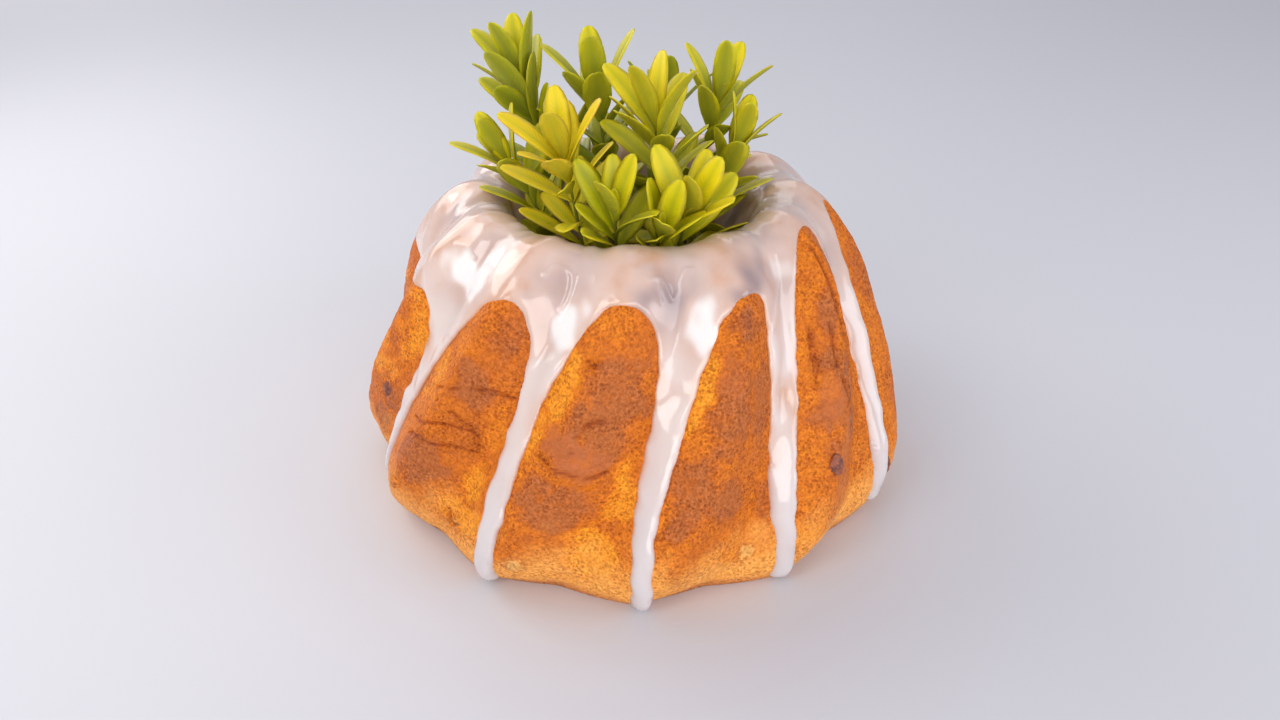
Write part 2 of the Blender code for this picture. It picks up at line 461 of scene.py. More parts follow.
def new_mesh(
    name: str,
    points: np.ndarray,
    edges: Iterable = (),
    faces: Iterable = (),
    values: dict[str, np.ndarray] | None = None,
) -> Mesh:
    """A mesh from arrays.

    Args:
        name: Its name.
        points: Its vertices, one to a row.
        edges: Pairs of vertex numbers.
        faces: Rows of vertex numbers.
        values: Arrays to store on its vertices, numbers or vectors, by attribute name.

    Returns:
        The mesh.
    """
    mesh = bpy.data.meshes.new(name)
    mesh.from_pydata(np.asarray(points).tolist(), [tuple(e) for e in edges], [tuple(f) for f in faces])
    for key, array in (values or {}).items():
        store(mesh, key, array)
    return mesh


def store(mesh: Mesh, name: str, values: np.ndarray) -> None:
    """Stores numbers or vectors on a mesh's vertices.

    Args:
        mesh: The mesh.
        name: The attribute's name.
        values: One number, or one row of three, for each vertex.
    """
    kind, field = ("FLOAT_VECTOR", "vector") if np.ndim(values) == 2 else ("FLOAT", "value")
    array = np.asarray(values, np.float32).ravel()
    mesh.attributes.new(name, kind, "POINT").data.foreach_set(field, array)


def mesh_tree(mesh: Mesh) -> BVHTree:
    """A tree of a mesh's faces, to test rays and other forms against."""
    faces = [tuple(face.vertices) for face in mesh.polygons]
    return BVHTree.FromPolygons([vert.co for vert in mesh.vertices], faces)


class ShapeGraph(Graph):
    """A Geometry Nodes tree with named inputs, run once to make a plain mesh."""

    kinds = {
        int: "NodeSocketInt",
        float: "NodeSocketFloat",
        Object: "NodeSocketObject",
        Collection: "NodeSocketCollection",
        Material: "NodeSocketMaterial",
    }

    def __init__(self, name: str) -> None:
        """Makes the tree.

        Args:
            name: The tree's name.
        """
        super().__init__(bpy.data.node_groups.new(name, "GeometryNodeTree"))
        for side in ("INPUT", "OUTPUT"):
            self.tree.interface.new_socket("Geometry", in_out=side, socket_type="NodeSocketGeometry")
        self.entry = self.tree.nodes.new("NodeGroupInput")
        self.exit = self.tree.nodes.new("NodeGroupOutput")
        self.values: dict[str, Any] = {}
        self.names: dict[str, str] = {}

    @cached_property
    def mm(self) -> Wire:
        """Where each point is, in millimetres."""
        return self.scaled(self.wire("GeometryNodeInputPosition"), 1 / MM)

    def given(self, name: str, value: Any) -> Wire:
        """Adds a named input.

        Args:
            name: The input's name.
            value: What it is set to when the tree runs, or a type where each run says.

        Returns:
            The input.
        """
        kind = value if isinstance(value, type) else type(value)
        socket = self.tree.interface.new_socket(name, in_out="INPUT", socket_type=self.kinds[kind])
        self.names[name] = socket.identifier
        if kind is not value:
            self.values[socket.identifier] = value
        return Wire(self, self.entry.outputs[name])

    def shape_of(self, name: str, helper: Any = Object) -> Wire:
        """The geometry of a helper object, which is a named input."""
        return self.wire("GeometryNodeObjectInfo", {}, {0: self.given(name, helper)}, "Geometry")

    def stored(self, name: str, vector: bool = False) -> Wire:
        """A value stored on the geometry."""
        kind = "FLOAT_VECTOR" if vector else "FLOAT"
        return self.wire("GeometryNodeInputNamedAttribute", {"data_type": kind}, {0: name})

    def sampled(self, shape: Wire, value: Wire, index: Wire, vector: bool = False) -> Wire:
        """A field of one shape, read at an index of it."""
        kind = "FLOAT_VECTOR" if vector else "FLOAT"
        return self.wire("GeometryNodeSampleIndex", {"data_type": kind}, {0: shape, 1: value, 2: index})

    def store(self, shape: Wire, **values: Wire) -> Wire:
        """Stores numbers on a shape's points, by attribute name."""
        for name, value in values.items():
            shape = self.wire("GeometryNodeStoreNamedAttribute", {}, {0: shape, 2: name, 3: value})
        return shape

    def parts(self, vector: Wire) -> tuple[Wire, Wire, Wire]:
        """The three parts of a vector."""
        node = self.node("ShaderNodeSeparateXYZ", {}, {0: vector})
        return tuple(Wire(self, output) for output in node.outputs)

    def vector(self, x: Any, y: Any, z: Any) -> Wire:
        """A vector from its parts."""
        return self.wire("ShaderNodeCombineXYZ", {}, {0: x, 1: y, 2: z})

    def plus(self, first: Wire, second: Wire) -> Wire:
        """The sum of two vectors."""
        return self.wire("ShaderNodeVectorMath", {"operation": "ADD"}, {0: first, 1: second})

    def scaled(self, vector: Wire, size: Any) -> Wire:
        """A vector made longer or shorter."""
        return self.wire("ShaderNodeVectorMath", {"operation": "SCALE"}, {0: vector, "Scale": size})

    def distance(self, first: Wire, second: Wire) -> Wire:
        """How far apart two places are."""
        return self.wire("ShaderNodeVectorMath", {"operation": "DISTANCE"}, {0: first, 1: second}, 1)

    def end(self, shape: Wire, finishes: Sequence[tuple[str, Material, Any]]) -> None:
        """Ends the tree.

        Args:
            shape: What the tree has made.
            finishes: Names of inputs, their materials, and the selections that wear them.
        """
        shape = self.wire("GeometryNodeRealizeInstances", {}, {0: shape})
        for name, material, chosen in finishes:
            worn = self.given(name, material)
            shape = self.wire("GeometryNodeSetMaterial", {}, {0: shape, 1: chosen, 2: worn})
        self.tree.links.new(shape.socket, self.exit.inputs[0])

    def piece(self, name: str, changes: dict[str, Any] | None = None) -> Object:
        """Runs the tree and makes its result a plain mesh.

        Args:
            name: The piece's name.
            changes: Values for this run, by input name.

        Returns:
            The piece, with no modifier left on it.
        """
        carrier = new_object(name, bpy.data.meshes.new(f"{name}_start"))
        modifier = carrier.modifiers.new("shape", "NODES")
        modifier.node_group = self.tree
        named = {self.names[key]: value for key, value in (changes or {}).items()}
        for identifier, value in {**self.values, **named}.items():
            modifier[identifier] = value
        graph = bpy.context.evaluated_depsgraph_get()
        mesh = bpy.data.meshes.new_from_object(carrier.evaluated_get(graph))
        carrier.modifiers.remove(modifier)
        carrier.data = mesh
        mesh.name = name
        mesh.shade_smooth()
        return carrier


class Helpers:
    """Objects that only feed node trees, removed once the trees have run."""

    def __init__(self) -> None:
        """Starts with none."""
        self.objects: list[Object] = []

    def add(self, name: str, points: np.ndarray, **extra: Any) -> Object:
        """Adds a helper from arrays, with edges, faces and values as new_mesh takes them."""
        self.objects.append(new_object(name, new_mesh(name, points, **extra)))
        self.objects[-1].hide_render = True
        return self.objects[-1]

    def clear(self) -> None:
        """Removes them all."""
        for obj in self.objects:
            bpy.data.objects.remove(obj)
        self.objects = []


@dataclass(frozen=True)
class Ripple:
    """Smooth random waves through space, mostly within their height to either side."""

    height: float
    period: float
    seed: int
    waves: int = 18
    periods: Pair = (0.7, 1.5)

    def at(self, points: np.ndarray) -> np.ndarray:
        """How high the waves stand.

        Args:
            points: Where they are read, in metres, one point to a row.

        Returns:
            The height at each point.
        """
        draw = np.random.default_rng(self.seed)
        ways = draw.normal(size=(self.waves, 3))
        ways /= np.linalg.norm(ways, axis=1)[:, None]
        periods = self.period * draw.uniform(*self.periods, self.waves)
        phases = draw.uniform(0, math.tau, self.waves)
        turns = points @ (ways * math.tau / periods[:, None]).T
        return self.height * (np.sin(turns + phases).sum(axis=-1) / math.sqrt(self.waves))


@dataclass(frozen=True)
class Spot:
    """A place where a raisin, a pale crumb or a blister shows in the crust.

    Attributes:
        bearing: Its bearing, in degrees.
        share: Its share of the fluted run.
        size: How far it reaches, in millimetres.
        push: How far it stands out, in millimetres.
        dark: How far it has a raisin's colour, 0 to 1.
        pale: How far it has a crumb's colour, 0 to 1.
    """

    bearing: float
    share: float
    size: float
    push: float
    dark: float = 0.0
    pale: float = 0.0


def spots_of(*rows: Sequence[float]) -> tuple[Spot, ...]:
    """Spots from rows of their numbers."""
    return tuple(Spot(*row) for row in rows)


@dataclass
class CrustMarks:
    """The spots and the creases of the crust, on every side of the cake."""

    form: CakeForm
    seed: int = 11
    more_spots: int = 20
    more_creases: int = 12
    plain_arc: Pair = (78.0, 286.0)
    spot_shares: Pair = (0.08, 0.56)
    spot_strengths: Pair = (0.5, 0.9)
    spot_sizes: Pairs = ((2.6, 5.2), (2.6, 5.2), (8, 12))
    spot_pushes: Pair = (-0.7, 0.9)
    crease_shares: Pair = (0.22, 0.5)
    crease_runs: Pair = (5, 9)
    crease_rises: Pair = (-0.01, 0.03)
    crease_spans: int = 3
    crease_waver: float = 0.006
    crease_steps: int = 5
    spots: tuple[Spot, ...] = spots_of(
        (-70, 0.26, 4.5, -0.5, 0.85), (-8.5, 0.512, 2.6, -1.1, 0.55), (-37, 0.118, 4.0, 1.0, 0, 0.5),
        (-53, 0.135, 4.5, 0.8, 0.5), (-30, 0.09, 2.2, -1.1, 0.9), (-22, 0.10, 5.0, 0.8, 0, 0.8),
        (-11, 0.345, 14.0, 1.3), (26.5, 0.565, 7.0, -0.3, 0.52), (22, 0.45, 9.0, 0.2),
        (17.5, 0.215, 5.0, 0.2, 0.4), (26, 0.175, 2.6, -0.9, 0.58), (21.5, 0.105, 5.0, 0.5, 0, 0.8),
        (41, 0.24, 4.2, 0.6, 0.85), (46, 0.36, 9.0, 0.4), (61, 0.115, 4.5, 0.5, 0.9),
        (-40, 0.385, 8.0, 0.3, 0.12),
    )
    creases: tuple[Pairs, ...] = (
        ((-18, 0.335), (-15, 0.318), (-11, 0.306), (-8, 0.302), (-5.5, 0.312)),
        ((-11.6, 0.355), (-11.2, 0.375), (-10, 0.395), (-8, 0.408), (-5.5, 0.41)),
        ((-51, 0.30), (-46, 0.312), (-41, 0.328), (-36, 0.33), (-34, 0.322)),
        ((-50, 0.272), (-46, 0.280), (-43, 0.276), (-38, 0.290), (-34, 0.288)),
        ((-44, 0.395), (-38, 0.41), (-32, 0.422), (-27, 0.418)),
        ((56.5, 0.64), (54.5, 0.56), (53, 0.50), (52.5, 0.43), (54, 0.36)),
        ((50, 0.50), (48.0, 0.42), (48.5, 0.35), (51, 0.28)),
        ((47, 0.56), (45, 0.50), (43.5, 0.45), (42.5, 0.40)),
        ((-43, 0.372), (-40, 0.365), (-37, 0.345), (-35, 0.338), (-33.5, 0.30)),
        ((46, 0.50), (44.5, 0.46), (44, 0.42)),
        ((-40, 0.135), (-39.6, 0.115), (-38, 0.106), (-36.4, 0.118)),
        ((-10, 0.518), (-8.6, 0.510), (-7.4, 0.514)),
    )

    def __post_init__(self) -> None:
        """Adds marks of the same kinds on the sides that have none yet."""
        draw = np.random.default_rng(self.seed)
        spots, creases = [], []
        for _ in range(self.more_spots):
            bearing, share = draw.uniform(*self.plain_arc), draw.uniform(*self.spot_shares)
            mark, strength = Mark(int(draw.integers(len(Mark)))), draw.uniform(*self.spot_strengths)
            size, push = draw.uniform(*self.spot_sizes[mark.value]), draw.uniform(*self.spot_pushes)
            dark, pale = (strength * (mark is kind) for kind in (Mark.RAISIN, Mark.CRUMB))
            spots.append(Spot(bearing, share, size, push, dark, pale))
        for _ in range(self.more_creases):
            bearing, share = draw.uniform(*self.plain_arc), draw.uniform(*self.crease_shares)
            run, rise = draw.uniform(*self.crease_runs), draw.uniform(*self.crease_rises)
            knots = []
            for knot in range(self.crease_spans + 1):
                waver = draw.uniform(-1, 1) * self.crease_waver
                turn, climb = knot * run / self.crease_spans, knot * rise / self.crease_spans
                knots.append((bearing + turn, share + climb + waver))
            creases.append(tuple(knots))
        self.spots += tuple(spots)
        self.creases += tuple(creases)

    def places(self, spots: Sequence[Spot]) -> tuple[np.ndarray, np.ndarray]:
        """The bearings and the lengths of spots."""
        bearings, shares = np.array([(spot.bearing, spot.share) for spot in spots]).T
        return np.radians(bearings), self.form.length_at(shares)

    def spot_points(self, helpers: Helpers) -> Object:
        """The spots as points that carry their sizes.

        Args:
            helpers: Where the points are kept.

        Returns:
            The points.
        """
        keys = ("size", "push", "dark", "pale")
        values = {key: np.array([getattr(spot, key) for spot in self.spots]) for key in keys}
        return helpers.add("spots", self.form.place(*self.places(self.spots)), values=values)

    def crease_lines(self, helpers: Helpers) -> Object:
        """The creases as lines on the form.

        Args:
            helpers: Where the lines are kept.

        Returns:
            The lines.
        """
        points, edges = [], []
        for crease in self.creases:
            knots = curve_through(crease, self.crease_steps)
            start = len(points)
            points += list(self.form.place(np.radians(knots[:, 0]), self.form.length_at(knots[:, 1])))
            edges += [(i, i + 1) for i in range(start, len(points) - 1)]
        return helpers.add("creases", np.array(points), edges=edges)


@dataclass(frozen=True)
class Patch:
    """A stretch of crust or glaze whose colour differs from the rest.

    Attributes:
        bearing: Its middle's bearing, in degrees.
        share: Its middle's share of the fluted run.
        across: Half its width, in millimetres.
        along: Half its height, in millimetres.
        turn: How far its top leans to the right, in degrees.
        toast: How dark it is, 1 for the darkest and -1 for the palest.
    """

    bearing: float
    share: float
    across: float
    along: float
    turn: float
    toast: float


def patches_of(*rows: Sequence[float]) -> tuple[Patch, ...]:
    """Patches from rows of their six numbers."""
    return tuple(Patch(*row) for row in rows)


@dataclass
class Browning:
    """How brown the crust is: more on the ribs' right flanks, where it is painted shade, and in ragged
    patches.
    """

    form: CakeForm
    right_flank_shade: float = 0.22
    seed: int = 23
    first_plain_rib: int = 3
    plain_ribs: int = 7
    patches_a_rib: int = 7
    patch_shares: Pair = (0.08, 0.58)
    off_crest: Pair = (-9, 9)
    patch_sizes: Pair = (4.5, 12)
    patch_talls: Pair = (0.8, 1.6)
    patch_toasts: Pair = (0.5, 1.1)
    patch_turns: Pair = (0, 28)
    patch_edge: Pair = (1.22, 0.55)
    blister_edge: Pair = (1.1, 0.75)
    tears: tuple[Ripple, ...] = (Ripple(0.3, 12 * MM, 31), Ripple(0.15, 4 * MM, 32))
    blister_tear: Ripple = Ripple(0.22, 7 * MM, 33)
    patches: tuple[Patch, ...] = patches_of(
        (-5, 0.43, 11, 17, 20, 0.95), (-12, 0.35, 9, 7, 0, 0.8),
        (-16, 0.235, 13, 9, 0, 1.1), (-16, 0.47, 7, 13, 25, -1.2),
        (-3, 0.58, 7, 6, 0, -0.3), (-2.5, 0.27, 5, 13, 15, -0.9),
        (-8, 0.14, 12, 10, 0, -1.3), (-36, 0.42, 6.5, 7.5, 0, 1.0),
        (-29, 0.53, 5, 9, 0, 0.5), (-46, 0.23, 13, 10, 0, 0.85),
        (-34, 0.22, 5, 12, 10, -0.9), (-46.5, 0.41, 6, 12, 25, -0.6),
        (-30, 0.35, 4.5, 10, 20, -0.5), (-36, 0.15, 12, 6, 0, -0.8),
        (-41, 0.50, 6, 7, 30, -0.1), (19, 0.42, 9, 20, 20, 0.85),
        (9, 0.27, 9, 13, 15, 1.0), (18, 0.25, 6, 10, 10, 1.0),
        # The patch at bearing 28, share 0.42 is painted shade on a rib's right flank, not toasting.
        (28, 0.42, 4, 17, 12, 0.9), (13.5, 0.45, 4.5, 16, 28, -1.6),
        (26.5, 0.20, 4, 9, 10, 0.5), (18, 0.11, 12, 5, 0, -0.5),
        (26, 0.57, 5, 7, 0, 0.8), (42, 0.34, 7, 8, 0, 0.9),
        (47, 0.48, 4, 11, 20, 0.5), (38, 0.45, 5, 15, 22, -0.4),
        (44, 0.12, 17, 7, 0, -0.4), (53, 0.30, 7, 13, 15, 1.1),
        (50, 0.50, 3, 14, 20, 1.0), (41.5, 0.27, 4, 6, 0, 0.8),
        (49, 0.40, 4, 9, 15, 0.8), (-20.5, 0.37, 3.5, 12, 25, -0.7),
        (-10, 0.335, 3.5, 2.5, 0, -0.7), (6, 0.37, 3.5, 13, 20, -0.7),
        (72, 0.20, 6, 15, 10, 0.5), (80, 0.50, 5, 13, 20, 0.6),
        (-69, 0.26, 7, 6, 0, 0.7), (-80, 0.42, 7, 13, 20, -0.5),
        (-66, 0.43, 4, 12, 20, 0.4), (-78, 0.14, 8, 7, 0, -0.7),
    )
    blisters: tuple[Patch, ...] = patches_of(
        (-12, 0.345, 9.5, 6.5, 35, 1.0), (-8, 0.325, 6.0, 5.0, -20, 0.9),
        (20, 0.47, 6.0, 8.0, 20, 0.4), (45, 0.37, 5.0, 9.0, 15, 0.7),
        (102, 0.42, 8.0, 6.0, 20, 0.8), (163, 0.30, 9.0, 5.0, -10, 0.7),
        (221, 0.44, 7.0, 7.0, 0, 0.8),
    )

    def __post_init__(self) -> None:
        """Adds patches of the same kinds to the ribs that have none yet."""
        draw = np.random.default_rng(self.seed)
        more = []
        for rib in range(self.plain_ribs):
            place = self.first_plain_rib + rib + 0.5
            crest = self.form.first_groove + place * math.tau / self.form.flutes
            for number in range(self.patches_a_rib):
                share = draw.uniform(*self.patch_shares)
                middle = crest + self.form.leaning(self.form.length_at(share))
                bearing = math.degrees(middle) + draw.uniform(*self.off_crest)
                size, tall = draw.uniform(*self.patch_sizes), draw.uniform(*self.patch_talls)
                toast = draw.uniform(*self.patch_toasts) * (1 if number % 2 else -1)
                more.append(Patch(bearing, share, size, size * tall, draw.uniform(*self.patch_turns), toast))
        self.patches += tuple(more)

    def at(self, bearing: np.ndarray, length: np.ndarray, points: np.ndarray) -> np.ndarray:
        """How brown the crust is at each place, painted shade on the ribs' right flanks included.

        Args:
            bearing: The places' bearings.
            length: Their lengths.
            points: The same places in space.

        Returns:
            From -1, pale, to 1, brown.
        """
        form = self.form
        turned = form.flutes * (bearing - form.leaning(length) - form.first_groove)
        # Painted shade: each rib's right flank, turned away from the key light, is made browner.
        toast = -self.right_flank_shade * np.sin(turned)
        torn = sum(tear.at(points) for tear in self.tears)
        for patch in self.patches:
            toast += patch.toast * ease(*self.patch_edge, form.reach(patch, bearing, length) + torn)
        return np.clip(toast, -1.0, 1.0)

    def smooth(self, bearing: np.ndarray, length: np.ndarray, points: np.ndarray) -> np.ndarray:
        """How smooth the crust is, where a blister has lifted it.

        Args:
            bearing: The places' bearings.
            length: Their lengths.
            points: The same places in space.

        Returns:
            From 0, rough, to 1, smooth.
        """
        torn = self.blister_tear.at(points)
        lifted = []
        for patch in self.blisters:
            reach = self.form.reach(patch, bearing, length) + torn
            lifted.append(patch.toast * ease(*self.blister_edge, reach))
        return np.max(lifted, axis=0)


@dataclass(frozen=True)
class CrustFinish:
    """Baked crust: golden where it is pale, red brown where it is toasted, finely pored, with painted shade
    in its pits, its creases and on the ribs' right flanks, and painted glints on its grain.
    """

    tones: tuple[tuple[float, Colour], ...] = (
        (0.0, linear(241, 149, 32)),
        (0.25, linear(228, 128, 22)),
        (0.5, linear(212, 112, 22)),
        (0.75, linear(197, 103, 32)),
        (1.0, linear(184, 101, 46)),
    )
    # Paler band round the foot: partly the crust's own paler foot, partly painted light from below.
    base_band_with_painted_light: Colour = linear(255, 178, 84)
    raisin: Colour = linear(140, 70, 44)
    pale: Colour = linear(226, 182, 104)
    blister: Colour = linear(190, 106, 62)
    # Pore tone: partly the pores' own darker colour, partly painted shade in pits and creases.
    pore_tone_and_shade: Colour = (0.64, 0.52, 0.44)
    # Painted highlight: lightens the grain's high points as if they caught the light.
    painted_glint: Colour = (1.38, 1.46, 1.7)
    cloudlet_period: float = 5.0
    grain_period: float = 0.9
    pore_period: float = 1.7
    dimple_period: float = 2.8
    warp_scale: float = 0.5
    pit_scale: float = 0.72
    band: Pair = (0.19, 0.04)
    foot_line: float = 0.035
    dimple_depth: float = 0.7
    pore_depth: float = 1.3

    def material(self) -> Material:
        """Builds the crust's material from what its mesh stores.

        Returns:
            The material.
        """
        g = ShaderGraph("crust")
        share, toast = g.attribute("share"), g.attribute("toast")
        dark, pale, smooth = g.attribute("dark"), g.attribute("pale"), g.attribute("smooth")
        cloudlets = g.noise(self.cloudlet_period, 4.0, 0.62)
        grain = g.noise(self.grain_period, 2.0, 0.6)
        pores = g.noise(self.pore_period, 3.0, 0.6)
        warp_inputs = {"Vector": g.mm, "Scale": self.warp_scale, "Detail": 1.0}
        warp = g.wire("ShaderNodeTexNoise", {}, warp_inputs, "Color")
        warped = g.wire("ShaderNodeVectorMath", {"operation": "ADD"}, {0: g.mm, 1: warp})
        pits = g.wire("ShaderNodeTexVoronoi", {}, {"Vector": warped, "Scale": self.pit_scale}, "Distance")
        # The toast value carries painted shade on the ribs' right flanks as well as real browning.
        tone = toast * 0.5 + 0.5 + (cloudlets - 0.5) * 0.9 + (pores - 0.5) * 0.3
        colour = g.wire("ShaderNodeValToRGB", {"stops": self.tones}, {0: tone})
        ragged = share + (g.noise(14.0) - 0.5) * 0.22
        # Paler towards the foot: partly the crust's own paler band, partly painted light standing for light
        # from below.
        colour = g.blend(ragged.step(*self.band) * 0.85, colour, self.base_band_with_painted_light)
        colour = g.blend(share.step(self.foot_line, 0.0) * 0.6, colour, self.blister)
        colour = g.blend(smooth * (0.2 + cloudlets * 0.6), colour, self.blister)
        veiled = pale + pale.step(0.05, 0.3) * (pores - 0.5) * 1.2
        colour = g.blend(veiled.step(0.25, 0.8) * 0.6, colour, self.pale)
        # A dark rim round each pale crumb, in raisin colour: partly skin, partly painted shade in the gap.
        colour = g.blend(veiled.hump(0.26, 0.20) * 0.4, colour, self.raisin)
        colour = g.blend(dark.step(0.2, 0.75) * 0.75, colour, self.raisin)
        rough = (1.0 - smooth * 0.7) * (0.55 + g.noise(11.0).step(0.34, 0.62) * 0.45)
        height = grain * 0.5 + pores * 0.35 + pits.step(0.05, 0.55) * 0.15
        # Darker where the grain is low: partly the crust's own darker pores, partly painted shade in the
        # pits.
        colour = g.multiply(height.step(0.60, 0.40) * rough, colour, self.pore_tone_and_shade)
        # Painted glints: the grain's high points are lightened.
        colour = g.multiply(height.step(0.54, 0.70) * rough, colour, self.painted_glint)
        # Painted shade: the creases are darkened with the pore tone, besides being pressed in.
        colour = g.multiply(g.attribute("crease").step(0.15, 0.95), colour, self.pore_tone_and_shade)
        relief = g.bump(g.noise(self.dimple_period), self.dimple_depth)
        relief = g.bump(height * rough, self.pore_depth, relief)
        return g.finish(
            Base_Color=colour,
            Roughness=0.66 - height * 0.30,
            Normal=relief,
            Specular_IOR_Level=0.22,
        )


@dataclass
class Crust:
    """The cake's body, from its flat base over the ribs and down the hole."""

    form: CakeForm
    marks: CrustMarks
    browning: Browning
    finish: CrustFinish = CrustFinish()
    columns: int = 600
    fine_row: float = 1.02 * MM
    coarse_row: float = 2.6 * MM
    base_rows: int = 4
    glazed_from: float = 0.66
    skin_starts: float = 5 * MM
    swell: float = 1.5 * MM
    swell_period: float = 30.0
    lumps: float = 1.1 * MM
    lump_period: float = 6.5
    grit: float = 0.44 * MM
    grit_period: float = 2.4
    mark_period: float = 6.0
    crease_breaks: Pair = (0.30, 0.46)
    crease_depth: float = 0.9 * MM
    crease_reach: float = 1.4 * MM
    crease_lip: float = 0.55 * MM
    weld: float = 0.01 * MM
    name: str = "baked_crust"

    def rows(self, helpers: Helpers) -> Object:
        """The half section, closed across the base, with what each of its points needs.

        Args:
            helpers: Where it is kept.

        Returns:
            Its points, as a helper that stores their values.
        """
        form = self.form
        glazed = form.length_at(self.glazed_from)
        side = np.linspace(0, glazed, round(glazed / self.fine_row))
        rest = form.lengths[-1] - glazed
        down = np.linspace(glazed, form.lengths[-1], round(rest / self.coarse_row))[1:]
        lengths = np.append(side, down)
        radius, height, level, upward = form.section(lengths)
        base = np.linspace(form.hole, radius[0], self.base_rows)[:-1]
        under = np.zeros(len(base))
        out = np.append(base, radius)
        points = np.stack([out, 0 * out, np.append(under, height)], axis=1)
        inward = (base - form.hole) / (radius[0] - form.hole)
        skin = ease(0, self.skin_starts, lengths) * ease(0, self.skin_starts, form.lengths[-1] - lengths)
        values = {
            "across": np.append(under + 1, level),
            "upward": np.append(under, upward),
            "deep": np.append(form.deepness(0) * inward, form.deepness(lengths)),
            "share": np.append(under, form.share(lengths)),
            "skin": np.append(under, skin),
        }
        return helpers.add("section", points, values=values)

    def build(self) -> Object:
        """Spins the section, flutes and leans it, and presses the marks into it.

        Returns:
            The crust, which stands for the CAD cake.
        """
        helpers = Helpers()
        section = self.rows(helpers)
        g = ShapeGraph("fluted_crust")
        form = self.form
        sizes = {
            "Columns": self.columns,
            "Rows": len(section.data.vertices),
            "Flutes": float(form.flutes),
            "Sharpness": form.sharpness,
            "Lean": form.lean,
            "Lean Easing": form.lean_easing,
            "First Groove": form.first_groove,
            "Mean Of Wave": form.mean_of_wave,
        }
        inputs = (g.given(name, size) for name, size in sizes.items())
        columns, rows, flutes, sharpness, lean, easing, groove, mean = inputs
        grid = g.wire("GeometryNodeMeshGrid", {}, {0: 1.0, 1: 1.0, 2: columns + 1.0, 3: rows})
        across, along, _ = g.parts(g.wire("GeometryNodeInputPosition"))
        angle = (across + 0.5) * math.tau
        row = ((along + 0.5) * (rows - 1.0)).act("ROUND")
        line = g.shape_of("Section", section)
        place = g.sampled(line, g.wire("GeometryNodeInputPosition"), row, vector=True)
        radius, _, height = g.parts(place)
        keys = ("across", "upward", "deep", "share", "skin")
        level, upward, deep, share, skin = (g.sampled(line, g.stored(key), row) for key in keys)
        turned = ((angle - groove) * flutes).act("COSINE") * sharpness * -1.0
        wave = 0.5 + 0.5 * turned.act("ARCSINE") / sharpness.act("ARCSINE")
        bearing = angle + lean * (1.0 - (1.0 - share) ** easing)
        sine, cosine = bearing.act("SINE"), bearing.act("COSINE")
        rise = deep * (wave - mean)
        outwards = g.vector(level * sine, level * cosine * -1.0, upward)
        plain = g.vector(radius * sine, radius * cosine * -1.0, height)
        on_form = g.plus(plain, g.scaled(outwards, rise))
        shape = g.store(grid, share=share, skin=skin)
        shape = g.wire("GeometryNodeSetPosition", {}, {0: shape, 2: on_form})
        shape = g.wire("GeometryNodeMergeByDistance", {}, {0: shape, 2: self.weld})
        shape = self.marked(g, shape, helpers)
        g.end(shape, [("Crust Material", self.finish.material(), True)])
        crust = g.piece(self.name)
        helpers.clear()
        self.brown(crust.data)
        return crust

    def brown(self, mesh: Mesh) -> None:
        """Stores on the crust's mesh how brown and how smooth each place is; the brownness includes painted
        shade on the ribs' right flanks.

        Args:
            mesh: The crust's mesh, which stores its shares.
        """
        count = len(mesh.vertices)
        points, share = np.empty(count * 3, np.float32), np.empty(count, np.float32)
        mesh.vertices.foreach_get("co", points)
        mesh.attributes["share"].data.foreach_get("value", share)
        points = points.reshape(-1, 3).astype(float)
        bearing = np.arctan2(points[:, 0], -points[:, 1])
        length = self.form.length_at(share.astype(float))
        store(mesh, "toast", self.browning.at(bearing, length, points))
        store(mesh, "smooth", self.browning.smooth(bearing, length, points))

    def marked(self, g: ShapeGraph, shape: Wire, helpers: Helpers) -> Wire:
        """Unevenness, spots and creases, pushed along the surface's own normal.

        Args:
            g: The crust's tree.
            shape: The fluted form.
            helpers: Where the marks' helper objects are kept.

        Returns:
            The marked form, with its spots and creases stored on it.
        """
        here = g.wire("GeometryNodeInputPosition")
        swell = g.given("Swell", self.swell) * (g.noise(self.swell_period, 1.0) - 0.5)
        lumps = g.given("Lumps", self.lumps) * (g.noise(self.lump_period) - 0.5)
        grit = g.given("Grit", self.grit) * (g.noise(self.grit_period, 1.0) - 0.5)
        spots = g.shape_of("Spots", self.marks.spot_points(helpers))
        nearest = g.wire("GeometryNodeSampleNearest", {}, {0: spots, 1: here})
        at = g.sampled(spots, g.wire("GeometryNodeInputPosition"), nearest, vector=True)
        size = g.sampled(spots, g.stored("size"), nearest) * MM
        ragged = 0.35 + 1.3 * g.noise(self.mark_period)
        near = (g.distance(here, at) * ragged / size).step(1.0, 0.1)
        push = g.sampled(spots, g.stored("push"), nearest) * MM * near
        creases = g.shape_of("Creases", self.marks.crease_lines(helpers))
        settings = {"target_element": "EDGES"}
        gap = g.wire("GeometryNodeProximity", settings, {0: creases, 2: here}, "Distance")
        gap = gap / g.given("Crease Reach", self.crease_reach)
        worn = g.noise(self.mark_period, 1.0).step(*self.crease_breaks)
        crease = gap.step(1.0, 0.0) * worn
        lip = gap.hump(1.3, 1.0) * worn * g.given("Crease Lip", self.crease_lip)
        tints = {key: g.sampled(spots, g.stored(key), nearest) * near for key in ("dark", "pale")}
        shape = g.store(shape, crease=crease, **tints)
        moved = swell + lumps + grit + push + lip
        moved = moved - crease * g.given("Crease Depth", self.crease_depth)
        outwards = g.scaled(g.wire("GeometryNodeInputNormal"), moved * g.stored("skin"))
        return g.wire("GeometryNodeSetPosition", {}, {0: shape, 3: outwards})


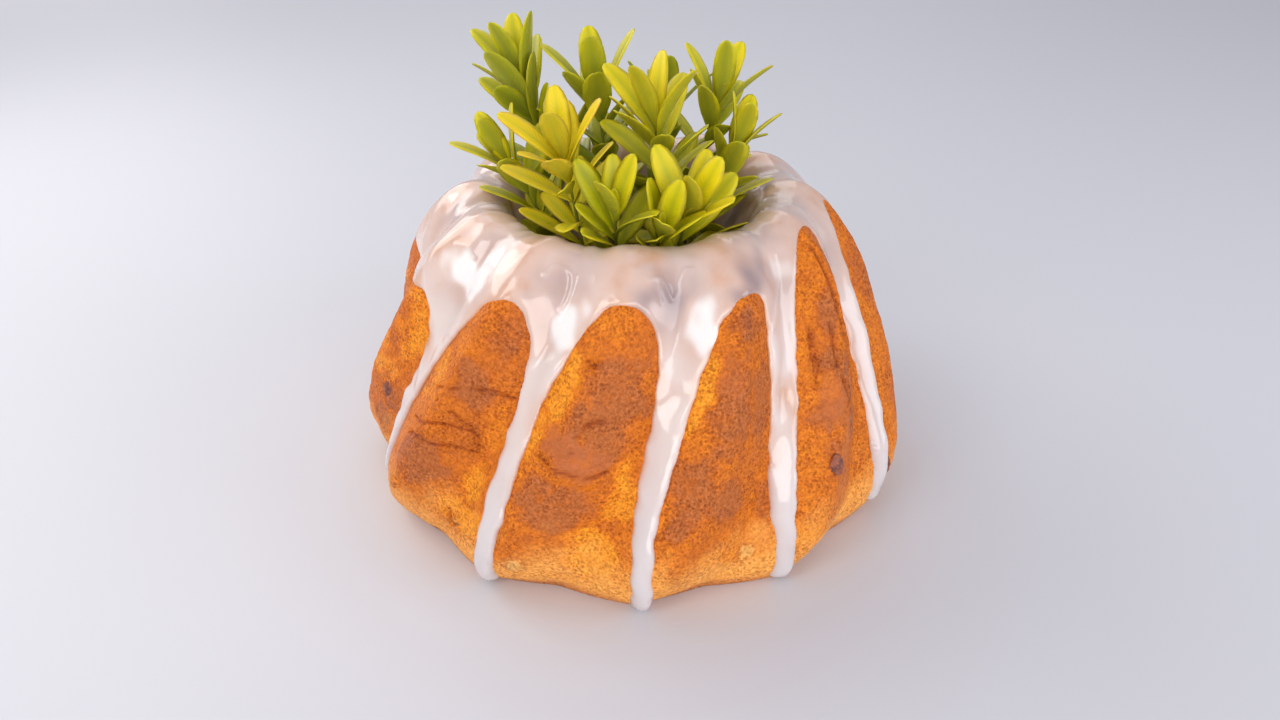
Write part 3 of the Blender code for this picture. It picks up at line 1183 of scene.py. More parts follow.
@dataclass(frozen=True)
class RaisinFinish:
    """Raisin skin: dark brown to purple, with a dull bloom on its folds."""

    dark: Colour = linear(98, 46, 34)
    brown: Colour = linear(160, 84, 52)
    bloom: Colour = linear(160, 118, 108)
    cloud_period: float = 2.6
    fold_period: float = 0.9
    fold_depth: float = 0.4

    def material(self) -> Material:
        """Builds the raisins' material.

        Returns:
            The material.
        """
        g = ShaderGraph("raisin")
        clouds = g.noise(self.cloud_period)
        folds = g.noise(self.fold_period)
        colour = g.blend(clouds.step(0.35, 0.65), self.dark, self.brown)
        colour = g.blend(folds.step(0.5, 0.7) * 0.35, colour, self.bloom)
        relief = g.bump(folds, self.fold_depth)
        return g.finish(Base_Color=colour, Roughness=0.34 + folds * 0.3, Normal=relief)


@dataclass
class Raisins:
    """Raisins baked into the crust, each with only its wrinkled back showing."""

    marks: CrustMarks
    finish: RaisinFinish = RaisinFinish()
    least_dark: float = 0.6
    length: float = 0.95
    width: float = 0.62
    thickness: float = 0.42
    proud: float = -0.8 * MM
    wrinkle: float = 2.6 * MM
    wrinkle_period: float = 2.4
    most_spin: float = 0.7
    probe: float = 6 * MM
    probe_depth: float = 20 * MM
    rounds: int = 4
    seed: int = 29

    def build(self, crust: Object) -> Object:
        """Sinks a raisin at each dark spot.

        Args:
            crust: The finished crust, whose surface the raisins lie in.

        Returns:
            All the raisins as one piece.
        """
        form, helpers = self.marks.form, Helpers()
        spots = [spot for spot in self.marks.spots if spot.dark >= self.least_dark]
        bearings, lengths = self.marks.places(spots)
        tree, draw = mesh_tree(crust.data), np.random.default_rng(self.seed)
        places, turns = [], []
        ways = form.direction(bearings, lengths)
        for start, way in zip(form.place(bearings, lengths, self.probe), ways):
            hit, normal, _, _ = tree.ray_cast(Vector(start), -Vector(way), self.probe_depth)
            spin = Matrix.Rotation(draw.uniform(-self.most_spin, self.most_spin), 3, "Z")
            turns.append(tuple((normal.to_track_quat("Z", "Y").to_matrix() @ spin).to_euler()))
            places.append(tuple(hit + normal * self.proud))
        sizes = np.array([spot.size * MM for spot in spots])[:, None]
        values = {"turn": np.array(turns), "size": sizes * (self.width, self.length, self.thickness)}
        g = ShapeGraph("raisins")
        carrier = helpers.add("raisin_points", np.array(places), values=values)
        points = g.shape_of("Raisin Points", carrier)
        ball = g.wire("GeometryNodeMeshIcoSphere", {}, {0: 1.0, 1: g.given("Rounds", self.rounds)})
        turn = g.wire("FunctionNodeEulerToRotation", {}, {0: g.stored("turn", vector=True)})
        inputs = {0: points, 2: ball, 5: turn, 6: g.stored("size", vector=True)}
        shape = g.wire("GeometryNodeInstanceOnPoints", {}, inputs)
        shape = g.wire("GeometryNodeRealizeInstances", {}, {0: shape})
        folds = (g.noise(self.wrinkle_period) - 0.5).act("ABSOLUTE")
        folds = folds * g.given("Wrinkle", self.wrinkle)
        outwards = g.wire("GeometryNodeInputNormal")
        shape = g.wire("GeometryNodeSetPosition", {}, {0: shape, 3: g.scaled(outwards, folds)})
        g.end(shape, [("Raisin Material", self.finish.material(), True)])
        raisins = g.piece("raisins")
        helpers.clear()
        return raisins


def soft_least(first: np.ndarray, second: np.ndarray, reach: float) -> np.ndarray:
    """The smaller of two fields, with the corner between them rounded within a reach."""
    close = np.maximum(reach - np.abs(first - second), 0.0)
    return np.minimum(first, second) - close * close / (4 * reach)


@dataclass(frozen=True)
class Drip:
    """A run of glaze down the side, by share of the fluted run from its end up.

    Attributes:
        path: Shares with the bearing of its middle there, in degrees.
        widths: Shares with its full width there, in millimetres.
        depths: Shares with its thickness there, in millimetres.
    """

    path: Pairs
    widths: Pairs
    depths: Pairs = ((0.0, 2.5), (0.1, 2.0), (0.5, 1.9), (0.62, 1.5))
    taps: int = 5

    def read(self, table: Pairs, share: np.ndarray, rounding: float = 0.03) -> np.ndarray:
        """One of the tables at each share.

        Args:
            table: The path, the widths or the depths.
            share: Where it is read.
            rounding: How far to each side of a place it is averaged, which rounds its corners.

        Returns:
            The table's value at each share.
        """
        places, values = zip(*table)
        taps = np.linspace(-rounding, rounding, self.taps)
        return sum(np.interp(share + tap, places, values) for tap in taps) / self.taps


@dataclass(frozen=True)
class GlazeFinish:
    """Sugar glaze: glossy, white where it is thick, letting the crust through where thin, with painted shade
    greying its hollows and painted highlights in some white patches.
    """

    white: Colour = linear(230, 213, 204)
    thin: Colour = linear(224, 192, 175)
    # The grey of painted shade in the glaze's grooves and hollows.
    shade_grey: Colour = linear(160, 138, 138)
    bare: Colour = linear(212, 156, 118)
    # The grey that the drips take towards their lower ends.
    settled: Colour = linear(212, 207, 209)
    # White of thick glaze, also used as painted highlight on the white tint patches.
    pooled: Colour = linear(255, 250, 245)
    streak_period: float = 9.0
    cloud_period: float = 17.0
    stain_period: float = 12.0
    wave_period: float = 4.5
    wave_depth: float = 0.10
    cap_edge: Pair = (0.50, 0.60)
    low_greying: Pair = (0.42, 0.05)

    def material(self) -> Material:
        """Builds the glaze's material from the thickness and the tint that its mesh stores.

        Returns:
            The material.
        """
        g = ShaderGraph("glaze")
        thick, rib = g.attribute("thick"), g.attribute("ridge")
        share, tint = g.attribute("share"), g.attribute("tint")
        streaks = g.noise(self.streak_period)
        clouds = g.noise(self.cloud_period, 1.0)
        veil = thick + (streaks - 0.5) * 0.9
        colour = g.blend(veil.step(0.1, 0.85), self.bare, self.thin)
        colour = g.blend(veil.step(0.7, 1.9), colour, self.white)
        on_cap = share.step(*self.cap_edge)
        colour = g.blend(on_cap * 0.55, colour, self.thin)
        # Greyer and darker towards the drips' lower ends.
        colour = g.blend(share.step(*self.low_greying) * 0.8, colour, self.settled)
        # Painted shade: grey clouds in the cap's grooves.
        colour = g.blend(clouds.step(0.33, 0.56) * rib.step(0.3, 0.9) * on_cap * 0.3, colour, self.shade_grey)
        # Painted shade: grey where the tint is positive, in hollows below the mouth and above the drips.
        colour = g.blend(tint.most(0.0) * (0.45 + streaks) * 0.9, colour, self.shade_grey)
        stain = g.noise(self.stain_period, 3.0).step(0.46, 0.70)
        colour = g.blend(stain * rib.step(0.85, 0.25) * on_cap * 0.6, colour, self.bare)
        # Where the tint is negative: partly thicker white glaze, partly painted highlight.
        colour = g.blend((-tint).step(0.0, 1.0) * 0.9, colour, self.pooled)
        relief = g.bump(g.noise(self.wave_period, 1.0), self.wave_depth)
        return g.finish(
            Base_Color=colour,
            Roughness=0.12 + streaks * 0.10,
            Normal=relief,
            Subsurface_Weight=0.25,
            Subsurface_Radius=(1.0, 0.6, 0.4),
            Subsurface_Scale=1.6 * MM,
            Coat_Weight=0.6,
            Coat_Roughness=0.06,
            Specular_IOR_Level=0.5,
        )


@dataclass
class Glaze:
    """Glaze poured over the crown: a cap with scalloped edges, and a drip in each groove."""

    form: CakeForm
    finish: GlazeFinish = GlazeFinish()
    edge_tops: Pairs = (
        (-93.0, 0.52), (-63.5, 0.53), (-32.5, 0.592), (-2.7, 0.615), (26.5, 0.607), (56.5, 0.675),
        (85.0, 0.662), (117.0, 0.60), (147.0, 0.635), (176.0, 0.59), (207.0, 0.64), (237.0, 0.60),
    )
    drips: tuple[Drip, ...] = (
        Drip(  # far left
            ((0.10, -92), (0.20, -92), (0.30, -89.5), (0.40, -85), (0.48, -80), (0.56, -77), (0.7, -76)),
            ((0.10, 6.5), (0.35, 6.5), (0.45, 8.5), (0.53, 16), (0.60, 30)),
        ),
        Drip(  # left
            ((0.07, -65), (0.18, -64), (0.265, -62), (0.34, -58.5), (0.41, -55.4), (0.47, -53), (0.50, -52),
             (0.54, -50.5), (0.7, -48)),
            ((0.07, 6.5), (0.18, 6.5), (0.265, 8), (0.36, 9), (0.43, 12), (0.47, 16), (0.50, 21),
             (0.54, 29), (0.60, 38)),
        ),
        Drip(  # left of the front
            ((0.015, -29.2), (0.06, -29), (0.157, -27.5), (0.24, -26.5), (0.345, -24.6), (0.44, -22.3),
             (0.50, -20.4), (0.56, -18.6), (0.7, -18)),
            ((0.015, 8), (0.06, 8.4), (0.157, 9.5), (0.24, 10.6), (0.345, 10), (0.44, 10.4), (0.50, 14),
             (0.56, 18.5), (0.62, 32)),
        ),
        Drip(  # front
            ((0.0, 1.2), (0.12, 1.2), (0.20, 1.6), (0.277, 3.3), (0.36, 5.7), (0.435, 8.4), (0.50, 10.6),
             (0.57, 13), (0.7, 13.5)),
            ((0.0, 7.4), (0.12, 7.2), (0.20, 8), (0.277, 9.8), (0.36, 10.8), (0.435, 12), (0.50, 15.4),
             (0.57, 20.5), (0.63, 34)),
            ((0.0, 2.8), (0.1, 2.2), (0.3, 2.3), (0.425, 2.4), (0.452, 1.3), (0.62, 1.3)),
        ),
        Drip(  # right of the front
            ((0.015, 29.2), (0.06, 29.2), (0.13, 29.1), (0.2, 29.7), (0.33, 32.6), (0.415, 34.8),
             (0.515, 37.4), (0.60, 40.2), (0.7, 43)),
            ((0.015, 7.4), (0.06, 7.8), (0.13, 7.2), (0.2, 8.6), (0.25, 10.2), (0.33, 11.2), (0.415, 13),
             (0.515, 15.2), (0.60, 18.6), (0.64, 22), (0.68, 32)),
        ),
        Drip(  # right
            ((0.04, 58.6), (0.10, 59.2), (0.168, 60.6), (0.273, 64), (0.375, 67.3), (0.477, 70.5),
             (0.585, 74), (0.7, 77)),
            ((0.04, 7.2), (0.168, 7.2), (0.273, 8.4), (0.375, 9.8), (0.477, 11), (0.585, 13.5),
             (0.64, 20), (0.68, 32)),
        ),
    )
    ridges: tuple[Pairs, ...] = (
        ((4, 0.662), (7, 0.668), (8.4, 0.655), (9.8, 0.628), (11.6, 0.643), (12, 0.662), (14.3, 0.683),
         (17, 0.682)),
        ((5.6, 0.655), (6.3, 0.64), (6.8, 0.622)),
        ((-24, 0.66), (-22, 0.681), (-18, 0.677), (-16.8, 0.66), (-17.4, 0.625), (-18.8, 0.60)),
        ((45, 0.668), (42.6, 0.618), (37, 0.565), (33.8, 0.535)),
        ((-58, 0.645), (-54, 0.655), (-50, 0.645)),
        ((72, 0.66), (70, 0.61), (69.5, 0.56)),
    )
    # Positive patches grey the glaze as painted shade in hollows; negative ones whiten it, partly thicker
    # glaze and partly painted highlight.
    tints: tuple[Patch, ...] = patches_of(
        (-21, 0.635, 8, 9, 15, 0.5), (8, 0.625, 9, 9, 20, 1.1),
        (13, 0.665, 6, 4, 0, 0.4), (32, 0.65, 9, 9, 10, 1.1),
        (26, 0.612, 6, 3.5, 0, 0.9), (60, 0.62, 10, 12, 10, 0.5),
        (-57, 0.67, 5, 4, 0, 0.5), (-52, 0.615, 8, 5, 40, -1.0),
        (-44, 0.625, 4.5, 9, 10, -1.0), (-16, 0.575, 5, 8, 20, -1.0),
        (16.5, 0.58, 4.5, 8, 20, -1.0), (44, 0.64, 4, 6, 10, -0.5),
    )
    tint_seed: int = 6
    grey_sizes: Pair = (6, 9)
    grey_strengths: Pair = (0.5, 1.0)
    white_strengths: Pair = (0.6, 1.0)
    first_plain_groove: int = 3
    plain_drips: int = 6
    plain_top: float = 0.6
    plain_falls: Pair = (8, 13)
    plain_ends: tuple[float, ...] = (0.015, 0.03, 0.10, 0.22)
    plain_end_spread: float = 0.03
    plain_shares: tuple[float, ...] = (0.3, 0.45, 0.58, 0.7)
    plain_bend: float = 0.62
    plain_spread: float = 32
    plain_widths: Pair = (6.5, 8.5)
    plain_widening: Pairs = ((0.3, 1), (0.42, 3), (0.50, 6), (0.56, 11))
    seed: int = 5
    flat_radius: float = 84 * MM
    seam: float = math.radians(207)
    gap: float = 0.75 * MM
    outline_step: float = 0.6 * MM
    slant_step: float = 0.01
    ridge_steps: int = 14
    edge_steps: int = 10
    fine_border: float = 3.0 * MM
    fine_ridge: float = 1.8 * MM
    outline_clear: float = 0.3 * MM
    join: float = 5 * MM
    tip_corner: float = 3 * MM
    inner_height: float = 0.52
    inner_waves: Ripple = Ripple(6 * MM, 38 * MM, 3)
    wobble: Ripple = Ripple(0.35 * MM, 9 * MM, 8)
    tearing: Ripple = Ripple(0.3, 8 * MM, 41)
    flow_waves: tuple[Ripple, ...] = (Ripple(0.26, 15 * MM, 21), Ripple(0.16, 6.5 * MM, 22))
    flow_stretch: float = 0.45
    drip_edge: Pair = (-3 * MM, 2.5 * MM)
    drip_fades: Pair = (0.68, 0.56)
    drip_reach: float = 4.2 * MM
    drip_rounding: float = 0.008
    pooling: float = 1.3
    white_edge: Pair = (1.6, 0.45)
    grey_edge: Pair = (1.6, -0.5)
    cap_reach: float = 2.4 * MM
    fold_width: float = 0.7 * MM
    fold_height: float = 0.45 * MM
    thin: float = 0.55 * MM
    pooled: float = 1.1 * MM
    sunk: float = 0.2 * MM
    bottom: float = 0.55 * MM
    probe: float = 6 * MM
    floor_gap: float = 0.05 * MM
    smoothings: int = 4
    name: str = "poured_glaze"

    def __post_init__(self) -> None:
        """Adds the drips of the sides that have none yet, each in its groove."""
        draw = np.random.default_rng(self.seed)
        drips = []
        for number in range(self.plain_drips):
            place = self.first_plain_groove + number
            groove = self.form.first_groove + place * math.tau / self.form.flutes
            top = math.degrees(groove + self.form.leaning(self.form.length_at(self.plain_top)))
            fall = draw.uniform(*self.plain_falls)
            end = draw.choice(self.plain_ends) + draw.uniform(0, self.plain_end_spread)
            path = [(end, top - fall)]
            for share in self.plain_shares:
                left = (self.plain_bend - min(share, self.plain_bend)) / self.plain_bend
                path.append((share, top - fall * left**1.2))
            narrow = draw.uniform(*self.plain_widths)
            widths = [(end, narrow), *((share, narrow + more) for share, more in self.plain_widening)]
            drips.append(Drip(tuple(path), (*widths, (self.plain_bend, self.plain_spread))))
        self.drips += tuple(drips)
        # Each added drip gets a grey patch of painted shade above it and a white patch, partly painted
        # highlight, to its left.
        draw = np.random.default_rng(self.tint_seed)
        for drip in drips:
            top = drip.path[-1][1]
            across, along = draw.uniform(*self.grey_sizes), draw.uniform(*self.grey_sizes)
            grey = (top, 0.64, across, along, 15, draw.uniform(*self.grey_strengths))
            white = (top - 7, 0.58, 4.5, 8, 20, -draw.uniform(*self.white_strengths))
            self.tints += patches_of(grey, white)

    def tint(self, bearing: np.ndarray, length: np.ndarray) -> np.ndarray:
        """How the glaze is coloured: grey patches of painted shade, and white patches that are partly
        thicker glaze and partly painted highlight.

        Args:
            bearing: The places' bearings.
            length: Their lengths.

        Returns:
            From -1, white (thicker glaze and painted highlight), to 1, grey (painted shade) and thin.
        """
        torn = self.tearing.at(self.form.place(bearing, length))
        tint = np.zeros(len(torn))
        for patch in self.tints:
            edge = self.white_edge if patch.toast < 0 else self.grey_edge
            tint += patch.toast * ease(*edge, self.form.reach(patch, bearing, length) + torn)
        return np.clip(tint, -1.0, 1.0)

    def edge(self, bearing: np.ndarray) -> np.ndarray:
        """The length at which the cap would end between drips.

        Args:
            bearing: Bearings.

        Returns:
            The length at each.
        """
        tops = [(top + 360 * turn, share) for turn in (-1, 0, 1) for top, share in self.edge_tops]
        line = curve_through(tops, self.edge_steps)
        return self.form.length_at(np.interp(np.degrees(around(bearing)), line[:, 0], line[:, 1]))

    def inside_drip(self, drip: Drip, bearing: np.ndarray, length: np.ndarray) -> tuple[Any, Any]:
        """How far inside a drip each place is.

        Args:
            drip: The drip.
            bearing: The places' bearings.
            length: Their lengths.

        Returns:
            Distances from the drip's edge, positive inside, and its half width there.
        """
        share = self.form.share(length)
        middle = np.radians(drip.read(drip.path, share))
        radius = self.form.section(length)[0]
        half = drip.read(drip.widths, share) * MM / 2
        turned = np.radians(drip.read(drip.path, share + self.slant_step)) - middle
        slant = turned * radius / self.form.length_at(self.slant_step)
        level = half - np.abs(around(bearing - middle)) * radius
        steep = 1 / np.sqrt(1 + slant**2)
        end = self.form.length_at(drip.path[0][0])
        return soft_least(level * steep, length - end, self.tip_corner), half

    def field(self, bearing: np.ndarray, length: np.ndarray) -> tuple[np.ndarray, ...]:
        """Where the glaze is, and how thick it would be away from its edges.

        Args:
            bearing: Bearings of the places.
            length: Their lengths.

        Returns:
            Distance inside the glaze's edge, full thickness, and the reach of its rounded edge.
        """
        form = self.form
        wave = form.wave(bearing - form.leaning(length))
        inside = length - self.edge(bearing)
        thickness = self.thin + self.pooled * (1 - wave) ** self.pooling
        reach = np.full_like(inside, self.cap_reach)
        share = form.share(length)
        for drip in self.drips:
            within, half = self.inside_drip(drip, bearing, length)
            amount = ease(*self.drip_edge, within) * ease(*self.drip_fades, share)
            thickness += amount * (drip.read(drip.depths, share, self.drip_rounding) * MM - thickness)
            reach += amount * (np.minimum(half, self.drip_reach) - reach)
            inside = -soft_least(-inside, -within, self.join)
        heights, lengths = (array[::-1][: 4 * form.steps] for array in (form.line[:, 1], form.lengths))
        funnel_end = np.interp(self.inner_height * form.height, heights, lengths)
        flat = np.stack([np.cos(bearing), np.sin(bearing), 0 * bearing], axis=-1) * form.crown
        inner = funnel_end + self.inner_waves.at(flat)
        inside = soft_least(inside, inner - length, self.tip_corner)
        inside += self.wobble.at(form.place(bearing, length))
        return inside, thickness, reach

    def relief(self, bearing: np.ndarray, length: np.ndarray) -> np.ndarray:
        """Waves left by the flow, stretched downhill.

        Args:
            bearing: The places' bearings.
            length: Their lengths.

        Returns:
            Their height, as shares of the thickness.
        """
        crown, down = self.form.crown, length * self.flow_stretch
        flow = np.stack([np.sin(bearing) * crown, np.cos(bearing) * crown, down], axis=-1)
        return sum(ripple.at(flow) for ripple in self.flow_waves)

    def ridge_gap(self, bearing: np.ndarray, length: np.ndarray) -> np.ndarray:
        """How near places are to a fold.

        Args:
            bearing: The places' bearings.
            length: Their lengths.

        Returns:
            The distance from each to the nearest fold line.
        """
        knots = np.vstack([curve_through(ridge, self.ridge_steps) for ridge in self.ridges])
        places = self.form.place(np.radians(knots[:, 0]), self.form.length_at(knots[:, 1]))
        points = self.form.place(bearing, length)
        gap = np.full(len(points), 1.0)
        for place in places:
            gap = np.minimum(gap, np.linalg.norm(points - place, axis=1))
        return gap

    def outline(self, width: float, rise: float) -> np.ndarray:
        """Points where the glaze ends, on the flattened form.

        Args:
            width: Once round the form, flattened.
            rise: The whole length of the section.

        Returns:
            The points, found where the field changes sign along a grid's lines.
        """
        across = np.linspace(0, width, round(width / self.outline_step) + 1)
        upward = np.linspace(0, rise, round(rise / self.outline_step) + 1)
        x, y = np.meshgrid(across, upward)
        inside = self.field(x / self.flat_radius + self.seam, y)[0]
        found = []
        for a, b, first, second in (
            (inside[:, :-1], inside[:, 1:], (x[:, :-1], y[:, :-1]), (x[:, 1:], y[:, 1:])),
            (inside[:-1], inside[1:], (x[:-1], y[:-1]), (x[1:], y[1:])),
        ):
            crossed = (a > 0) != (b > 0)
            share = (a / (a - b))[crossed]
            start, end = (np.stack([u[crossed], v[crossed]], axis=1) for u, v in (first, second))
            found.append(start + (end - start) * share[:, None])
        return np.vstack(found)

    def lattice(self, width: float, rise: float) -> np.ndarray:
        """Points inside the glaze, closer together near its edges and its folds.

        Args:
            width: Once round the form, flattened.
            rise: The whole length of the section.

        Returns:
            The points, on a lattice of triangles.
        """
        columns = 2 * round(width / self.gap / 2)
        gap = width / columns
        rows = round(rise / (gap * math.sqrt(0.75)))
        row, column = np.meshgrid(np.arange(rows), np.arange(columns + 1), indexing="ij")
        odd = row % 2
        keep = column + odd <= columns
        x = (column + 0.5 * odd) * gap
        y = row * gap * math.sqrt(0.75)
        inside = self.field(x / self.flat_radius + self.seam, y)[0]
        keep &= inside > self.outline_clear
        coarse = (odd == 0) & ((column + row // 2) % 2 == 0)
        x, y, inside, coarse = (array[keep] for array in (x, y, inside, coarse))
        folded = self.ridge_gap(x / self.flat_radius + self.seam, y) < self.fine_ridge
        chosen = coarse | (inside < self.fine_border) | folded
        return np.stack([x[chosen], y[chosen]], axis=1)

    def flat_mesh(self) -> tuple[np.ndarray, np.ndarray]:
        """Triangles over the flattened form, joined where it comes round on itself.

        Returns:
            The points and the faces of the glaze's upper side.
        """
        width, rise = math.tau * self.flat_radius, self.form.lengths[-1]
        points = np.vstack([self.outline(width, rise), self.lattice(width, rise)])
        made = delaunay_2d_cdt([Vector(point) for point in points.tolist()], [], [], 0, 1e-9)
        flat = np.array([tuple(vert) for vert in made[0]])
        faces = np.array(made[2])
        middle = flat[faces].mean(axis=1)
        faces = faces[self.field(middle[:, 0] / self.flat_radius + self.seam, middle[:, 1])[0] > 0]
        same = np.arange(len(flat))
        left, right = (np.flatnonzero(np.abs(flat[:, 0] - x) < 1e-6) for x in (0.0, width))
        for vert in right:
            same[vert] = left[np.argmin(np.abs(flat[left, 1] - flat[vert, 1]))]
        used, faces = np.unique(same[faces], return_inverse=True)
        return flat[used], faces.reshape(-1, 3)

    def build(self, crust: Object) -> Object:
        """Lays the glaze on the crust.

        Args:
            crust: The finished crust.

        Returns:
            The glaze, as one closed body.
        """
        flat, faces = self.flat_mesh()
        bearing, length = flat[:, 0] / self.flat_radius + self.seam, flat[:, 1]
        edges = np.concatenate([faces[:, [0, 1]], faces[:, [1, 2]], faces[:, [2, 0]]])
        _, back, uses = np.unique(np.sort(edges, axis=1), axis=0, return_inverse=True, return_counts=True)
        rim = edges[uses[back.reshape(-1)] == 1]
        inside, thickness, reach = self.field(bearing, length)
        inside[rim.ravel()] = 0.0
        rounded = np.sqrt(1 - (1 - np.clip(inside / reach, 0, 1)) ** 2)
        folds = np.exp(-((self.ridge_gap(bearing, length) / self.fold_width) ** 2))
        full = thickness * (1 + self.relief(bearing, length)) + self.fold_height * folds
        height = (full + self.sunk) * rounded - self.sunk
        under = self.settled(crust, bearing, length, edges)
        top = self.form.place(bearing, length, under + height)
        bottom = self.form.place(bearing, length, under - self.bottom)
        points = np.vstack([top, bottom])
        points[:, 2] = np.maximum(points[:, 2], self.floor_gap)
        count = len(top)
        walls = np.stack([rim[:, 1], rim[:, 0], rim[:, 0] + count, rim[:, 1] + count], axis=1)
        everything = [*faces.tolist(), *(faces[:, ::-1] + count).tolist(), *walls.tolist()]
        values = {
            "thick": np.append(height, 0 * height) / MM,
            "ridge": np.tile(1 - self.form.wave(bearing - self.form.leaning(length)), 2),
            "share": np.tile(self.form.share(length), 2),
            "tint": np.tile(self.tint(bearing, length), 2),
        }
        mesh = new_mesh(self.name, points, faces=everything, values=values)
        mesh.materials.append(self.finish.material())
        mesh.shade_smooth()
        return new_object(self.name, mesh)

    def settled(self, crust: Object, bearing: np.ndarray, length: np.ndarray,
                edges: np.ndarray) -> np.ndarray:
        """How far the crust stands off the plain form under each point, evened out.

        Args:
            crust: The crust.
            bearing: The points' bearings.
            length: Their lengths.
            edges: Pairs of neighbouring points.

        Returns:
            The crust's height over the form.
        """
        tree = mesh_tree(crust.data)
        starts = self.form.place(bearing, length, self.probe)
        ways = -self.form.direction(bearing, length)
        found = []
        for start, way in zip(starts.tolist(), ways.tolist()):
            gap = tree.ray_cast(start, way, 2 * self.probe)[3]
            found.append(0.0 if gap is None else self.probe - gap)
        under = np.array(found)
        for _ in range(self.smoothings):
            total, count = under.copy(), np.ones(len(under))
            for a, b in ((0, 1), (1, 0)):
                np.add.at(total, edges[:, a], under[edges[:, b]])
                np.add.at(count, edges[:, a], 1.0)
            under = total / count
        return under


@dataclass(frozen=True)
class Leaf:
    """Where one leaf grows and how it is turned."""

    base: Vector
    way: Vector
    face: Vector
    length: float
    age: float


@dataclass(frozen=True)
class SprigPlan:
    """One sprig: its foot, its tip, and the leaves on it.

    Attributes:
        name: Its name, which ends its CAD node's name.
        bearing: The bearing of its foot, in degrees.
        tip: Where its stem ends, in millimetres.
        pairs: How many pairs of leaves it has.
        leaf: The length of its leaves, in millimetres.
        turn: How far its first pair is turned about the stem, in degrees.
        spread: How far its leaves open, against the usual.
        tone: Its colour, from 0, deep green, to 1, yellow.
    """

    name: str
    bearing: float
    tip: tuple[float, float, float]
    pairs: int
    leaf: float
    turn: float
    spread: float
    tone: float

    @property
    def node(self) -> str:
        """The CAD node that the sprig stands for."""
        return f"sprig_{self.name}"


@dataclass(frozen=True)
class LeafFinish:
    """Box leaves: waxy, greener along the midrib, yellower at the margins and the tip."""

    tones: tuple[tuple[float, Colour], ...] = (
        (0.0, linear(124, 134, 16)),
        (0.22, linear(162, 166, 16)),
        (0.45, linear(200, 194, 18)),
        (0.68, linear(230, 210, 22)),
        (0.88, linear(244, 210, 30)),
        (1.0, linear(238, 178, 40)),
    )
    under: Colour = linear(116, 124, 48)
    rib: Colour = linear(186, 184, 70)
    veins_a_leaf: float = 95.0
    vein_slant: float = 0.22
    vein_depth: float = 0.10
    rib_reach: float = 0.07

    def material(self) -> Material:
        """Builds the leaves' material from what their mesh stores.

        Returns:
            The material.
        """
        g = ShaderGraph("box_leaf")
        across, along = g.attribute("across").act("ABSOLUTE"), g.attribute("along")
        tone, below = g.attribute("tone"), g.attribute("below")
        clouds = g.noise(8.0)
        veins = ((along - across * self.vein_slant) * self.veins_a_leaf).act("SINE") * 0.5 + 0.5
        margin = across ** 3.0
        yellow = tone * 0.86 + margin * 0.20 + (along - 0.55) * 0.26 + (clouds - 0.5) * 0.22
        yellow = yellow - across.hump(0.0, 0.45) * 0.12
        colour = g.wire("ShaderNodeValToRGB", {"stops": self.tones}, {0: yellow})
        colour = g.blend(across.hump(0.0, self.rib_reach) * along.step(1.0, 0.5) * 0.55, colour, self.rib)
        colour = g.blend(below * 0.45, colour, self.under)
        fading = across.hump(0.5, 0.5) * along.hump(0.5, 0.42)
        relief = g.bump(veins * fading, self.vein_depth)
        return g.finish(
            Base_Color=colour,
            Roughness=0.36 + below * 0.2 + (clouds - 0.5) * 0.12,
            Normal=relief,
            Subsurface_Weight=0.35,
            Subsurface_Radius=(0.8, 1.0, 0.15),
            Subsurface_Scale=1.6 * MM,
            Specular_IOR_Level=0.3,
        )


@dataclass(frozen=True)
class StemFinish:
    """Young woody stems: olive green, browner towards the foot."""

    young: Colour = linear(132, 136, 40)
    old: Colour = linear(96, 78, 44)
    bark_period: float = 0.7
    bark_stretch: tuple[float, float, float] = (1.0, 1.0, 0.25)
    bark_depth: float = 0.2

    def material(self) -> Material:
        """Builds the stems' material.

        Returns:
            The material.
        """
        g = ShaderGraph("box_stem")
        age = g.attribute("stem") + (g.noise(4.0) - 0.5) * 0.4
        bark = g.noise(self.bark_period, at=g.stretched(g.mm, self.bark_stretch))
        colour = g.blend(age.step(0.75, 0.35), self.young, self.old)
        colour = g.multiply(0.5, colour, g.wire("ShaderNodeCombineXYZ", {}, {0: bark, 1: bark, 2: bark}))
        return g.finish(Base_Color=colour, Roughness=0.6, Normal=g.bump(bark, self.bark_depth))


